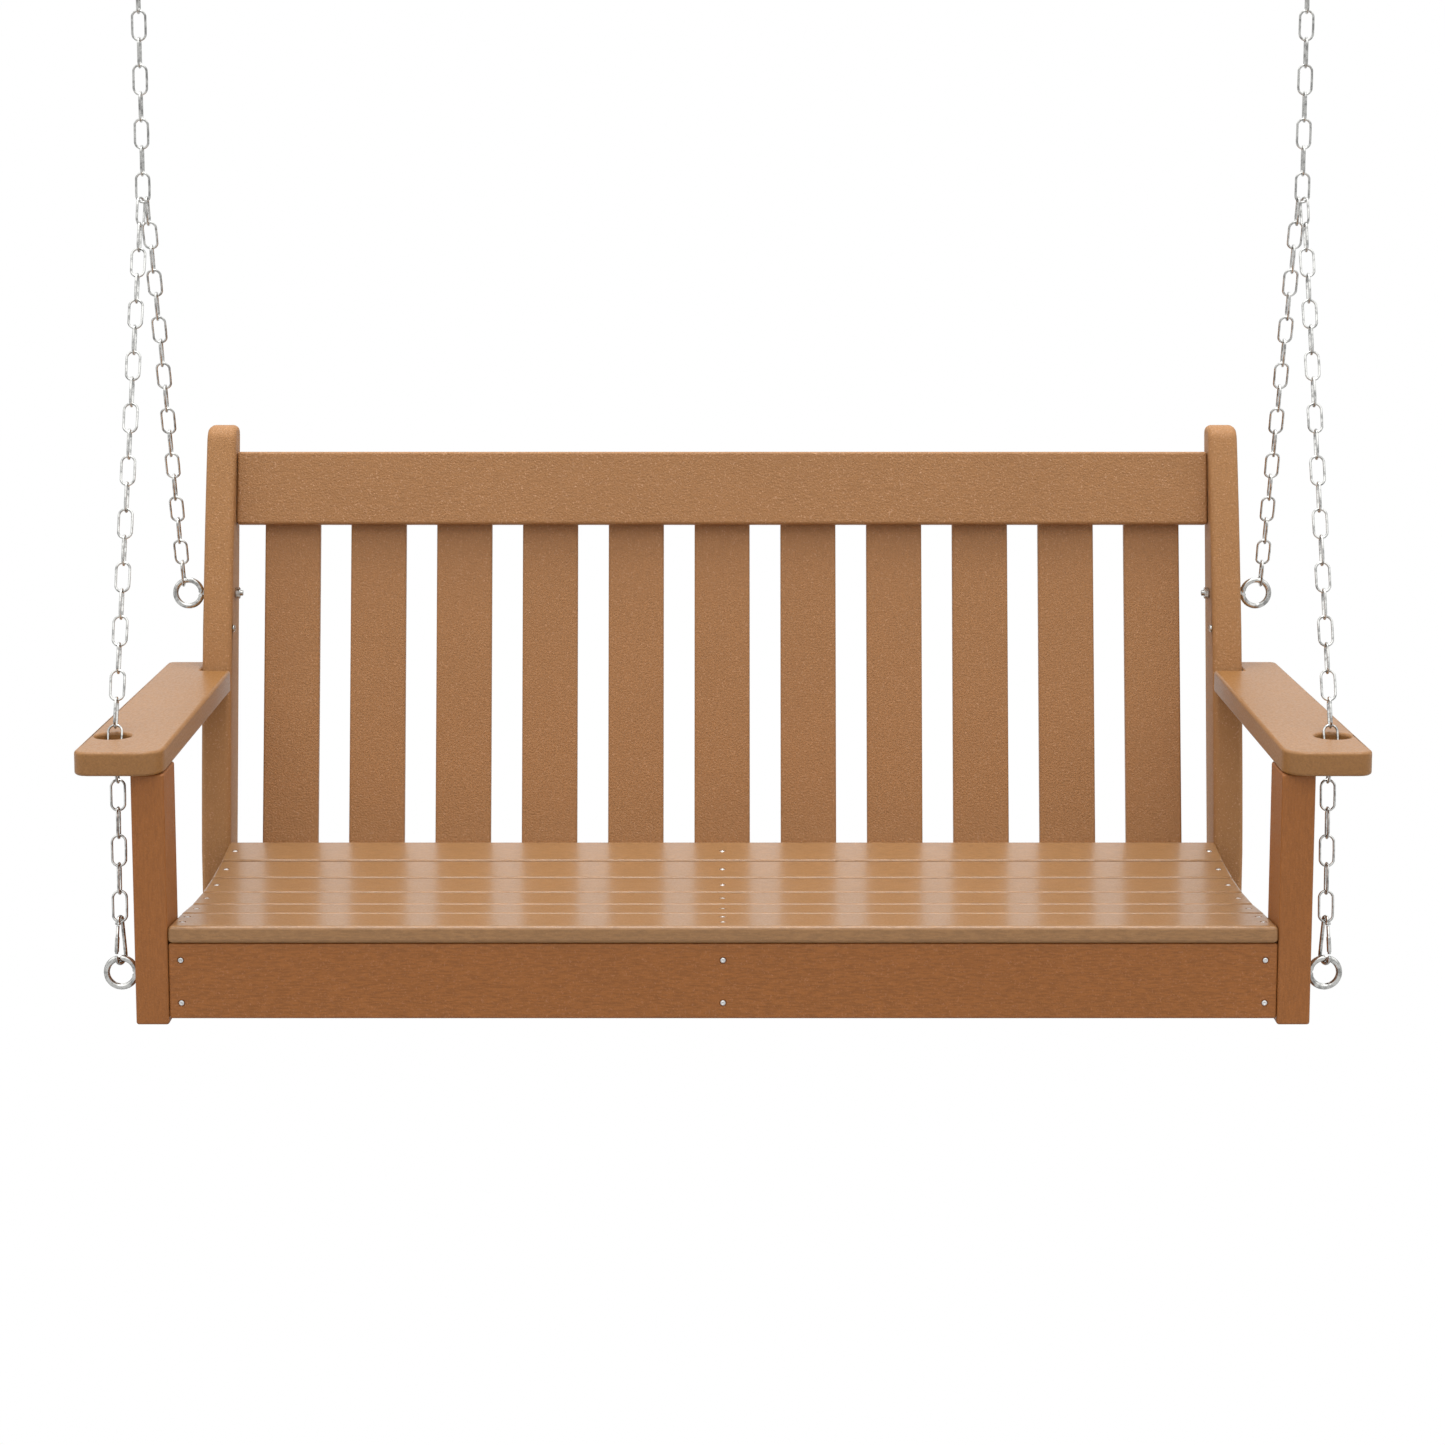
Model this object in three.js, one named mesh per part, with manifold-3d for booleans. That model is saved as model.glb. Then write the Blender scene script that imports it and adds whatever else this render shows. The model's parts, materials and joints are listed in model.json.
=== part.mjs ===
// Hanging porch swing: a slatted bench of solid recycled-plastic lumber, slung on four chains.
//
// Frame: millimetres, +Z up, the front towards -Y. "Left" and "right" in names are as seen from
// the front, so right is +X, which is a sitter's left hand. The origin lies in the ceiling plane,
// midway between the two hangers. Below, "height" is measured upwards from the foot of the front
// posts and "depth" backwards from their front face; place() turns them into the frame.

import * as THREE from 'three';
import { mergeVertices } from 'three/addons/utils/BufferGeometryUtils.js';
import Module from 'manifold-3d';

const wasm = await Module();
wasm.setup();

// ---------------------------------------------------------------- driving dimensions (mm)

const GAP = 0.3; // clearance between pieces that touch
const BITE = 1; // a stem runs this far into its head, so that the two are one piece
const CUT_OVER = 20; // a cutting tool runs at least this far past what it cuts

// Bench overall
const SEAT_WIDTH = 1265; // clear width between the end frames
const FRAME_THICK = 38; // thickness of posts and uprights
const POST_DEPTH = 76;
const POST_HEIGHT = 292;

// Seat
const NOSE_HEIGHT = 116; // top front edge of the seat
const SLAT_THICK = 20;
const SLAT_WIDTH = 72.4;
const NOSE_SLAT_WIDTH = 90.5;
const NOSE_SLAT_DROP = 7.7; // how far the first slat falls towards the back
const SEAT_SLATS = 5; // slats behind the first one
const SLAT_GAP = 4.3;
const DISH_DEPTH = 22.3; // lowest point of the seat below its front edge
const DISH_RADIUS = 1500;
const DISH_MIDDLE = 300; // depth of the lowest point

// Seat box
const APRON_THICK = 25;
const RAIL_THICK = 19;
const APRON_SETBACK = 1; // behind the posts' front face
const APRON_LIFT = 7; // apron's lower edge above the posts' feet
const SUPPORT_THICK = 25;
const STEP = 0.05; // run of the steps between one slat's seat and the next
const SUPPORT_LIFT = 20; // lower edge of the contoured supports

// Back
const BACK_SLATS = 11;
const BACK_SLAT_WIDTH = 72;
const BACK_SLAT_THICK = 14;
const BACK_PITCH = 112.2;
const BACK_RECLINE = 0.209; // run over rise
const BACK_BEHIND_SEAT = 26; // slats' front plane behind the seat's last edge, at height 0
const BACK_SLAT_BOTTOM = 26;
const TOP_RAIL_BOTTOM = 500;
const TOP_RAIL_WIDTH = 95;
const RAIL_COVER = 6; // top rail stands this far above the slats
const SEAT_RAIL_BOTTOM = 21;
const SEAT_RAIL_WIDTH = 62;

// Uprights: straight below the seat, an arc in front and a straight slope behind above it
const UPRIGHT_BEHIND_SEAT = 5.5; // front edge, below the knee, behind the seat's last edge
const UPRIGHT_DEPTH = 69.5; // below the knee
const UPRIGHT_KNEE = 88; // height where the slopes begin
const UPRIGHT_BOTTOM = 8;
const UPRIGHT_TOP = 625;
const FRONT_SLOPE = 0.112;
const FRONT_CURVE_RADIUS = 2304;
const REAR_SLOPE = 0.181;
const UPRIGHT_TOP_ROUND = 15;

// Arms
const ARM_THICK = 28;
const ARM_FRONT_OVERHANG = 15;
const ARM_REACH = 62.5; // beyond the post's outer face, at the front
const ARM_TAPER = 10; // narrower by this much at the back
const ARM_BEHIND_UPRIGHT = 26.6; // arm's tail beyond the upright's foot
const ARM_OUTER_ROUND = 16;
const ARM_INNER_ROUND = 28;
const ARM_TAIL_ROUND = 9;
const HOLE_RADIUS = 20.6;
const HOLE_INSET = 33.3; // hole's centre outboard of the post's outer face
const HOLE_DEPTH = 82.3;

// Eyebolts and nuts
const RING_OUTER = 41;
const RING_WIRE = 7.2;
const SHANK_RADIUS = 3.9;
const RING_STAND_OFF = 1.8; // between ring and timber
const NUT_FLATS = 13;
const NUT_THICK = 6.5;
const SHANK_TIP = 3.5; // thread showing past the nut
const FRONT_EYE_DEPTH = 38; // middle of the post
const FRONT_EYE_HEIGHT = 51.7;
const REAR_EYE_SETBACK = 27.3; // from the upright's front edge
const REAR_EYE_HEIGHT = 412.4;

// Arm bolts: one below each rear eyebolt
const ARM_BOLT_HEAD_RADIUS = 4.5;
const ARM_BOLT_HEAD = 3;
const ARM_BOLT_RADIUS = 2.5;
const ARM_BOLT_DROP = 42;
const ARM_BOLT_COVER = 4; // timber left over its tip
const ARM_BOLT_SETBACK = 9.6; // from the upright's front edge

// Chain
const WIRE = 2.9;
const PITCH = 32.2;
const LINK_WIDTH = 19;
const FACET_RADIUS = 0.6 * WIRE; // half diagonal of a four-sided wire with the round wire's strength
const LINK_CLEARANCE = 0.5; // between a link and the ring it hangs in
const SWING_ROOM = 1.2; // between the junction link and the lower runs, which rock on it
const UPPER_LINKS = 10;
// The two lower runs hang side by side in the junction link, each this far off its middle
const FRONT_RUN_OUTBOARD = 2.2;
const REAR_RUN_INBOARD = 4.2;
const FIRST_LINK_TURN = 68; // degrees from facing the front
const LOWER_RUN_LIFT = 0.8; // the junction link's bow rises to its sides
const REAR_EYE_LEAN = 6; // the rear run bears on the ring this far outboard of its top
const REAR_EYE_DROP = 1.1; // and this far below it
// The front run enters the arm's hole near its rear edge and bends inside it, over one link
const RIM_CLEARANCE = 3.862; // run's middle to the hole's rear edge, at the arm's top
const RIM_OUTBOARD = 0.783; // and outboard of the hole's centre
const BEND_HEIGHT = 5; // above the arm's underside
const BEND_LINK_INWARD = 5.2;
const BEND_LINK_FORWARD = 8.6;
const BEND_LINK_FALL = 30.6;

// Snap hook
const HOOK_WIRE = 4.5;
const HOOK_WIDTH = 24;
const HOOK_NECK_WIDTH = 13;
const HOOK_TURN = 22; // degrees about its long axis
const HOOK_HEIGHT = 113; // where the front chain meets it
const HOOK_SLACK = 1.8; // the hook hangs this far clear of the leaning link
const HOOK_CLEARANCE = 0.6; // between the hook's lower bow and the ring
const GATE_RADIUS = 2.4;
const GATE_TOP = 5; // gate's pivot end below the neck's middle
const GATE_SLEEVE = 4.5; // bent wire's end above the gate
const GATE_FOOT = 3.2; // gate's free end above the wide bow's middle

// Hanging geometry
const HANG_DEPTH = 338; // hangers and junction links above this depth
const JUNCTION_HEIGHT = 924.4; // wire centre of the junction link's lower bow
const JUNCTION_OUTBOARD = 6.5; // of the eyebolts' rings
const EYE_TO_CEILING = 58;
const PLATE_THICK = 5;
const PLATE_WIDTH = 36;
const PLATE_LENGTH = 110;
const PLATE_CORNER = 10;
const STEM_RADIUS = 5;
const SCREW_RADIUS = 3.5;
const SCREW_HEAD_RADIUS = 7;
const SCREW_HEAD = 4.5;
const SCREW_SPACING = 78;

// ---------------------------------------------------------------- derived

const INNER_X = SEAT_WIDTH / 2;
const OUTER_X = INNER_X + FRAME_THICK;
const ARM_BOTTOM = POST_HEIGHT + GAP;
const ARM_TOP = ARM_BOTTOM + ARM_THICK;
const bowReach = (pitch) => (pitch + WIRE) / 2; // link's middle to the wire centre at its bow
const RING_MID = (RING_OUTER - RING_WIRE) / 2;
const RING_X = OUTER_X + RING_STAND_OFF + RING_OUTER / 2;
const JUNCTION_X = RING_X + JUNCTION_OUTBOARD;
const HOOKED = FACET_RADIUS + RING_WIRE / 2 + LINK_CLEARANCE; // bow to ring, wire centre to wire centre
const EYE_WIRE_HEIGHT = JUNCTION_HEIGHT + (UPPER_LINKS - 1) * PITCH + 2 * bowReach(PITCH) - HOOKED;
const CEILING_HEIGHT = EYE_WIRE_HEIGHT + EYE_TO_CEILING;
const RECLINE_ANGLE = Math.atan(BACK_RECLINE);
const SEAT_DEPTH = NOSE_SLAT_WIDTH + SEAT_SLATS * (SLAT_WIDTH + SLAT_GAP);
const BACK_DEPTH = SEAT_DEPTH + BACK_BEHIND_SEAT;
const UPRIGHT_FRONT = SEAT_DEPTH + UPRIGHT_BEHIND_SEAT;
const UPRIGHT_REAR = UPRIGHT_FRONT + UPRIGHT_DEPTH;
const ARM_BACK = UPRIGHT_REAR + ARM_BEHIND_UPRIGHT;

const place = (x, depth, height) => new THREE.Vector3(x, depth - HANG_DEPTH, height - CEILING_HEIGHT);
const radians = THREE.MathUtils.degToRad;

// ---------------------------------------------------------------- materials

const boardColour = (r, g, b) => new THREE.MeshStandardMaterial({ color: new THREE.Color(r, g, b), roughness: 0.55 });
const lumber = boardColour(0.3, 0.13, 0.05);
const backLumber = boardColour(0.36, 0.17, 0.08);
const steel = new THREE.MeshStandardMaterial({ color: new THREE.Color(0.62, 0.63, 0.62), metalness: 1, roughness: 0.3 });
const chainSteel = new THREE.MeshStandardMaterial({ color: new THREE.Color(0.66, 0.67, 0.66), metalness: 1, roughness: 0.25 });

// ---------------------------------------------------------------- solids

function solid(geometry) {
  const plain = geometry.clone();
  plain.deleteAttribute('normal');
  plain.deleteAttribute('uv');
  const merged = mergeVertices(plain, 1e-4);
  return new wasm.Manifold(new wasm.Mesh({
    numProp: 3,
    vertProperties: Float32Array.from(merged.attributes.position.array),
    triVerts: Uint32Array.from(merged.index.array),
  }));
}

function geometryOf(manifold) {
  const mesh = manifold.getMesh();
  const geometry = new THREE.BufferGeometry();
  geometry.setAttribute('position', new THREE.BufferAttribute(Float32Array.from(mesh.vertProperties), 3));
  geometry.setIndex(new THREE.BufferAttribute(Uint32Array.from(mesh.triVerts), 1));
  geometry.computeVertexNormals();
  return geometry;
}

const joined = (pieces) => pieces.reduce((whole, piece) => whole.add(piece));

const box = (x, y, z) => new THREE.BoxGeometry(x, y, z);

// A rod along X between two X values, at a depth and height
function rodAlongX(radius, x0, x1, depth, height, sides = 12) {
  const rod = new THREE.CylinderGeometry(radius, radius, Math.abs(x1 - x0), sides);
  rod.rotateZ(Math.PI / 2);
  const middle = place((x0 + x1) / 2, depth, height);
  return rod.translate(middle.x, middle.y, middle.z);
}

// A plate whose outline is drawn in depth and height, standing between x0 and x1
function sidePlate(outline, x0, x1) {
  const shape = new THREE.Shape(outline.map(([depth, height]) => new THREE.Vector2(depth, height)));
  const plate = new THREE.ExtrudeGeometry(shape, { depth: x1 - x0, bevelEnabled: false, curveSegments: 6 });
  plate.applyMatrix4(new THREE.Matrix4().set(
    0, 0, 1, x0,
    1, 0, 0, -HANG_DEPTH,
    0, 1, 0, -CEILING_HEIGHT,
    0, 0, 0, 1,
  ));
  return plate;
}

const group = new THREE.Group();

function add(name, geometry, material) {
  const mesh = new THREE.Mesh(geometry, material);
  mesh.name = name;
  group.add(mesh);
  return mesh;
}

const SIDES = [['left', -1], ['right', 1]];

// ---------------------------------------------------------------- end frames

// Depths of the upright's edges at a height
const frontEdge = (height) => {
  const rise = Math.max(0, height - UPRIGHT_KNEE);
  return UPRIGHT_FRONT + FRONT_SLOPE * rise + rise ** 2 / (2 * FRONT_CURVE_RADIUS);
};
const rearEdge = (height) => UPRIGHT_REAR + REAR_SLOPE * Math.max(0, height - UPRIGHT_KNEE);

const REAR_EYE_DEPTH = frontEdge(REAR_EYE_HEIGHT) + REAR_EYE_SETBACK;
const ARM_BOLT_HEIGHT = REAR_EYE_HEIGHT - ARM_BOLT_DROP;
const ARM_BOLT_DEPTH = frontEdge(ARM_BOLT_HEIGHT) + ARM_BOLT_SETBACK;
const frontEyes = new THREE.Vector3(RING_X, FRONT_EYE_DEPTH, FRONT_EYE_HEIGHT);
const rearEyes = new THREE.Vector3(RING_X, REAR_EYE_DEPTH, REAR_EYE_HEIGHT);

function shankHole(side, eye, radius = SHANK_RADIUS + GAP) {
  const from = INNER_X - SUPPORT_THICK - CUT_OVER;
  return solid(rodAlongX(radius, side * from, side * (OUTER_X + CUT_OVER), eye.y, eye.z));
}

function frontPost(side) {
  const post = box(FRAME_THICK, POST_DEPTH, POST_HEIGHT);
  const middle = place(side * (INNER_X + FRAME_THICK / 2), POST_DEPTH / 2, POST_HEIGHT / 2);
  post.translate(middle.x, middle.y, middle.z);
  return geometryOf(solid(post).subtract(shankHole(side, frontEyes)));
}

function uprightOutline() {
  const arcSteps = 12;
  const shoulder = UPRIGHT_TOP - UPRIGHT_TOP_ROUND;
  const points = [[UPRIGHT_REAR, UPRIGHT_BOTTOM], [UPRIGHT_FRONT, UPRIGHT_BOTTOM]];
  for (let i = 0; i <= arcSteps; i += 1) {
    const height = UPRIGHT_KNEE + ((shoulder - UPRIGHT_KNEE) * i) / arcSteps;
    points.push([frontEdge(height), height]);
  }
  const roundSteps = 4;
  for (let i = 1; i < roundSteps; i += 1) {
    const turn = (Math.PI / 2) * (i / roundSteps);
    const height = shoulder + UPRIGHT_TOP_ROUND * Math.sin(turn);
    points.push([frontEdge(height) + UPRIGHT_TOP_ROUND * (1 - Math.cos(turn)), height]);
  }
  points.push([frontEdge(UPRIGHT_TOP) + UPRIGHT_TOP_ROUND, UPRIGHT_TOP]);
  points.push([rearEdge(UPRIGHT_TOP) - UPRIGHT_TOP_ROUND, UPRIGHT_TOP]);
  for (let i = roundSteps - 1; i >= 0; i -= 1) {
    const turn = (Math.PI / 2) * (i / roundSteps);
    const height = shoulder + UPRIGHT_TOP_ROUND * Math.sin(turn);
    points.push([rearEdge(height) - UPRIGHT_TOP_ROUND * (1 - Math.cos(turn)), height]);
  }
  points.push([UPRIGHT_REAR, UPRIGHT_KNEE]);
  return points;
}

function upright(side) {
  const x0 = side > 0 ? INNER_X : -OUTER_X;
  const plate = solid(sidePlate(uprightOutline(), x0, x0 + FRAME_THICK));
  const armBolt = new THREE.Vector3(0, ARM_BOLT_DEPTH, ARM_BOLT_HEIGHT);
  return geometryOf(plate
    .subtract(shankHole(side, rearEyes))
    .subtract(shankHole(side, armBolt, ARM_BOLT_RADIUS + GAP)));
}

// Arm: a tapered board seen from above, notched round the upright, with the chain hole
function arm(side) {
  const front = -ARM_FRONT_OVERHANG;
  const outerFront = OUTER_X + ARM_REACH;
  const outerBack = outerFront - ARM_TAPER;
  const notchFront = frontEdge(ARM_BOTTOM) - GAP;
  const notchX = OUTER_X + GAP;
  const rounded = (cx, cy, radius, from, to) => {
    const steps = 4;
    const arc = [];
    for (let i = 0; i <= steps; i += 1) {
      const turn = from + ((to - from) * i) / steps;
      arc.push([cx + radius * Math.cos(turn), cy + radius * Math.sin(turn)]);
    }
    return arc;
  };
  const outline = [
    ...rounded(INNER_X + ARM_INNER_ROUND, front + ARM_INNER_ROUND, ARM_INNER_ROUND, Math.PI, 1.5 * Math.PI),
    ...rounded(outerFront - ARM_OUTER_ROUND, front + ARM_OUTER_ROUND, ARM_OUTER_ROUND, -Math.PI / 2, 0),
    ...rounded(outerBack - ARM_TAIL_ROUND, ARM_BACK - ARM_TAIL_ROUND, ARM_TAIL_ROUND, 0, Math.PI / 2),
    [notchX, ARM_BACK],
    [notchX, notchFront],
    [INNER_X, notchFront],
  ];
  const shape = new THREE.Shape(outline.map(([px, depth]) => new THREE.Vector2(side * px, depth)));
  const hole = new THREE.Path();
  hole.absarc(side * (OUTER_X + HOLE_INSET), HOLE_DEPTH, HOLE_RADIUS, 0, 2 * Math.PI, side > 0); // wound against the outline
  shape.holes.push(hole);
  const board = new THREE.ExtrudeGeometry(shape, { depth: ARM_THICK, bevelEnabled: false, curveSegments: 12 });
  return board.translate(0, -HANG_DEPTH, ARM_BOTTOM - CEILING_HEIGHT);
}

for (const [name, side] of SIDES) {
  add(`front_post_${name}`, frontPost(side), lumber);
  add(`back_upright_${name}`, upright(side), lumber);
  add(`arm_${name}`, arm(side), lumber);
}

// ---------------------------------------------------------------- seat

// A level board across the seat: its section is given by its front top edge, width and fall
function crossBoard(length, frontDepth, frontTop, width, thick, tilt) {
  const board = box(length, width, thick);
  board.translate(0, width / 2, -thick / 2);
  board.rotateX(tilt);
  const corner = place(0, frontDepth, frontTop);
  return board.translate(corner.x, corner.y, corner.z);
}

const slats = [{
  depth: 0, top: NOSE_HEIGHT, width: NOSE_SLAT_WIDTH, tilt: -Math.asin(NOSE_SLAT_DROP / NOSE_SLAT_WIDTH),
}];
for (let i = 0; i < SEAT_SLATS; i += 1) {
  const depth = NOSE_SLAT_WIDTH + SLAT_GAP + i * (SLAT_WIDTH + SLAT_GAP);
  const middle = depth + SLAT_WIDTH / 2;
  const slope = (middle - DISH_MIDDLE) / DISH_RADIUS;
  const middleTop = NOSE_HEIGHT - DISH_DEPTH + (middle - DISH_MIDDLE) ** 2 / (2 * DISH_RADIUS);
  slats.push({ depth, top: middleTop - (slope * SLAT_WIDTH) / 2, width: SLAT_WIDTH, tilt: Math.atan(slope) });
}
slats.forEach((slat, i) => {
  const board = crossBoard(SEAT_WIDTH - 2 * GAP, slat.depth, slat.top, slat.width, SLAT_THICK, slat.tilt);
  add(`seat_slat_${i + 1}`, board, lumber);
});

// A board lying in a plane parallel to the back slats, with its front face set back by `behind`
function backPlaneBoard(width, length, thick, bottom, behind) {
  const board = box(length, thick, width);
  board.translate(0, thick / 2, width / 2);
  board.rotateX(-RECLINE_ANGLE);
  const across = behind / Math.cos(RECLINE_ANGLE);
  const corner = place(0, BACK_DEPTH + BACK_RECLINE * bottom + across, bottom);
  return board.translate(corner.x, corner.y, corner.z);
}

// Where each slat's underside begins and ends, a clearance below it
const undersides = slats.map(({ depth, top, width, tilt }) => {
  const reach = SLAT_THICK + GAP;
  const start = depth + reach * Math.sin(tilt);
  const height = top - reach * Math.cos(tilt);
  return { start, end: start + width * Math.cos(tilt), at: (d) => height + Math.tan(tilt) * (d - start) };
});

// The apron's top edge follows the first slat's slope
const apronBack = APRON_SETBACK + APRON_THICK;
add('front_apron', sidePlate([
  [APRON_SETBACK, APRON_LIFT],
  [apronBack, APRON_LIFT],
  [apronBack, undersides[0].at(apronBack)],
  [APRON_SETBACK, undersides[0].at(APRON_SETBACK)],
], -INNER_X + GAP, INNER_X - GAP), lumber);

const railBehind = -(RAIL_THICK + GAP);
const railLength = SEAT_WIDTH - 2 * GAP;
add('top_rail', backPlaneBoard(TOP_RAIL_WIDTH, railLength, RAIL_THICK, TOP_RAIL_BOTTOM, railBehind), lumber);
add('seat_rail', backPlaneBoard(SEAT_RAIL_WIDTH, railLength, RAIL_THICK, SEAT_RAIL_BOTTOM, railBehind), lumber);

// Contoured supports run from the apron to the seat rail under every slat
const railFaceDepth = (height) => BACK_DEPTH + BACK_RECLINE * height - (RAIL_THICK + 2 * GAP) / Math.cos(RECLINE_ANGLE);

function supportOutline() {
  const front = apronBack + GAP;
  const points = [[front, SUPPORT_LIFT]];
  undersides.forEach(({ at, end }, i) => {
    const from = i === 0 ? front : (undersides[i - 1].end + undersides[i].start) / 2 + STEP;
    const to = i === undersides.length - 1 ? end + SLAT_GAP / 2 : (end + undersides[i + 1].start) / 2;
    points.push([from, at(from)], [to, at(to)]);
  });
  const endTop = points[points.length - 1][1];
  points.push([railFaceDepth(endTop), endTop], [railFaceDepth(SUPPORT_LIFT), SUPPORT_LIFT]);
  return points;
}

function seatSupport(x0, bored) {
  const plate = solid(sidePlate(supportOutline(), x0, x0 + SUPPORT_THICK));
  return geometryOf(bored ? plate.subtract(shankHole(Math.sign(x0 + SUPPORT_THICK / 2), frontEyes)) : plate);
}

add('seat_support_left', seatSupport(-INNER_X + GAP, true), lumber);
add('seat_support_middle', seatSupport(-SUPPORT_THICK / 2, false), lumber);
add('seat_support_right', seatSupport(INNER_X - GAP - SUPPORT_THICK, true), lumber);

// ---------------------------------------------------------------- back slats

const backSlatTop = TOP_RAIL_BOTTOM + (TOP_RAIL_WIDTH - RAIL_COVER) * Math.cos(RECLINE_ANGLE);
const backSlatLength = (backSlatTop - BACK_SLAT_BOTTOM) / Math.cos(RECLINE_ANGLE);
for (let i = 0; i < BACK_SLATS; i += 1) {
  const slat = backPlaneBoard(backSlatLength, BACK_SLAT_WIDTH, BACK_SLAT_THICK, BACK_SLAT_BOTTOM, 0);
  slat.translate((i - (BACK_SLATS - 1) / 2) * BACK_PITCH, 0, 0);
  add(`back_slat_${i + 1}`, slat, backLumber);
}

// ---------------------------------------------------------------- eyebolts, nuts and arm bolts

function ringSolid(centre) {
  const ring = new THREE.TorusGeometry(RING_MID, RING_WIRE / 2, 6, 16);
  ring.rotateX(Math.PI / 2);
  return ring.translate(centre.x, centre.y, centre.z);
}

function eyebolt(side, eye, innerX) {
  const centre = place(side * eye.x, eye.y, eye.z);
  const tip = innerX - NUT_THICK - SHANK_TIP - GAP;
  const shank = rodAlongX(SHANK_RADIUS, side * tip, side * (eye.x - RING_MID), eye.y, eye.z);
  return geometryOf(solid(ringSolid(centre)).add(solid(shank)));
}

function nut(side, eye, innerX) {
  const x0 = side * (innerX - GAP);
  const x1 = side * (innerX - GAP - NUT_THICK);
  const body = rodAlongX(NUT_FLATS / Math.sqrt(3), x0, x1, eye.y, eye.z, 6);
  const bore = rodAlongX(SHANK_RADIUS + GAP, x0 + side * CUT_OVER, x1 - side * CUT_OVER, eye.y, eye.z);
  return geometryOf(solid(body).subtract(solid(bore)));
}

const supportInnerX = INNER_X - GAP - SUPPORT_THICK;
for (const [name, side] of SIDES) {
  add(`front_eyebolt_${name}`, eyebolt(side, frontEyes, supportInnerX), steel);
  add(`front_eyebolt_nut_${name}`, nut(side, frontEyes, supportInnerX), steel);
  add(`rear_eyebolt_${name}`, eyebolt(side, rearEyes, INNER_X), steel);
  add(`rear_eyebolt_nut_${name}`, nut(side, rearEyes, INNER_X), steel);

  const headFace = side * (INNER_X - GAP);
  const head = rodAlongX(ARM_BOLT_HEAD_RADIUS, headFace, headFace - side * ARM_BOLT_HEAD, ARM_BOLT_DEPTH, ARM_BOLT_HEIGHT, 12);
  const stem = rodAlongX(ARM_BOLT_RADIUS, headFace - side * BITE, side * (OUTER_X - ARM_BOLT_COVER), ARM_BOLT_DEPTH, ARM_BOLT_HEIGHT);
  add(`upright_bolt_${name}`, geometryOf(solid(head).add(solid(stem))), steel);
}

// ---------------------------------------------------------------- chains

// One welded link, long axis Z, lying in the XZ plane, centred on the origin
function linkSolid(pitch) {
  const segments = 8;
  const half = (LINK_WIDTH - WIRE) / 2;
  const link = new THREE.TorusGeometry(half / Math.cos(Math.PI / segments), FACET_RADIUS, 4, segments);
  link.rotateZ(Math.PI / segments);
  const position = link.attributes.position;
  for (let i = 0; i < position.count; i += 1) {
    position.setY(i, position.getY(i) + Math.sign(position.getY(i)) * (bowReach(pitch) - half));
  }
  return solid(link.rotateX(Math.PI / 2));
}

// Links from one contact point to the next along a straight stretch; turn(i) is each link's
// turn about the stretch, 0 facing the front
function straightRun(from, to, count, turn) {
  const link = linkSolid(from.distanceTo(to) / count);
  const along = new THREE.Vector3().subVectors(to, from).normalize();
  const across = new THREE.Vector3(1, 0, 0);
  across.addScaledVector(along, -across.dot(along)).normalize();
  const pieces = [];
  for (let i = 0; i < count; i += 1) {
    const x = across.clone().applyAxisAngle(along, radians(turn(i)));
    const y = new THREE.Vector3().crossVectors(along, x);
    const centre = from.clone().lerp(to, (i + 0.5) / count);
    const basis = new THREE.Matrix4().makeBasis(x, y, along).setPosition(centre);
    pieces.push(link.transform(basis.elements));
  }
  return pieces;
}

// The odd number of links nearest to filling a stretch, so that both its ends lie the same way
const oddLinks = (from, to) => 2 * Math.round((from.distanceTo(to) / PITCH - 1) / 2) + 1;

const evenTurn = (i) => (i % 2 === 0 ? 0 : 90);
const oddTurn = (i) => (i % 2 === 0 ? 90 : 0);
const junctionGap = 2 * FACET_RADIUS + SWING_ROOM; // bow to bow where the runs hang on the junction link

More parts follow.
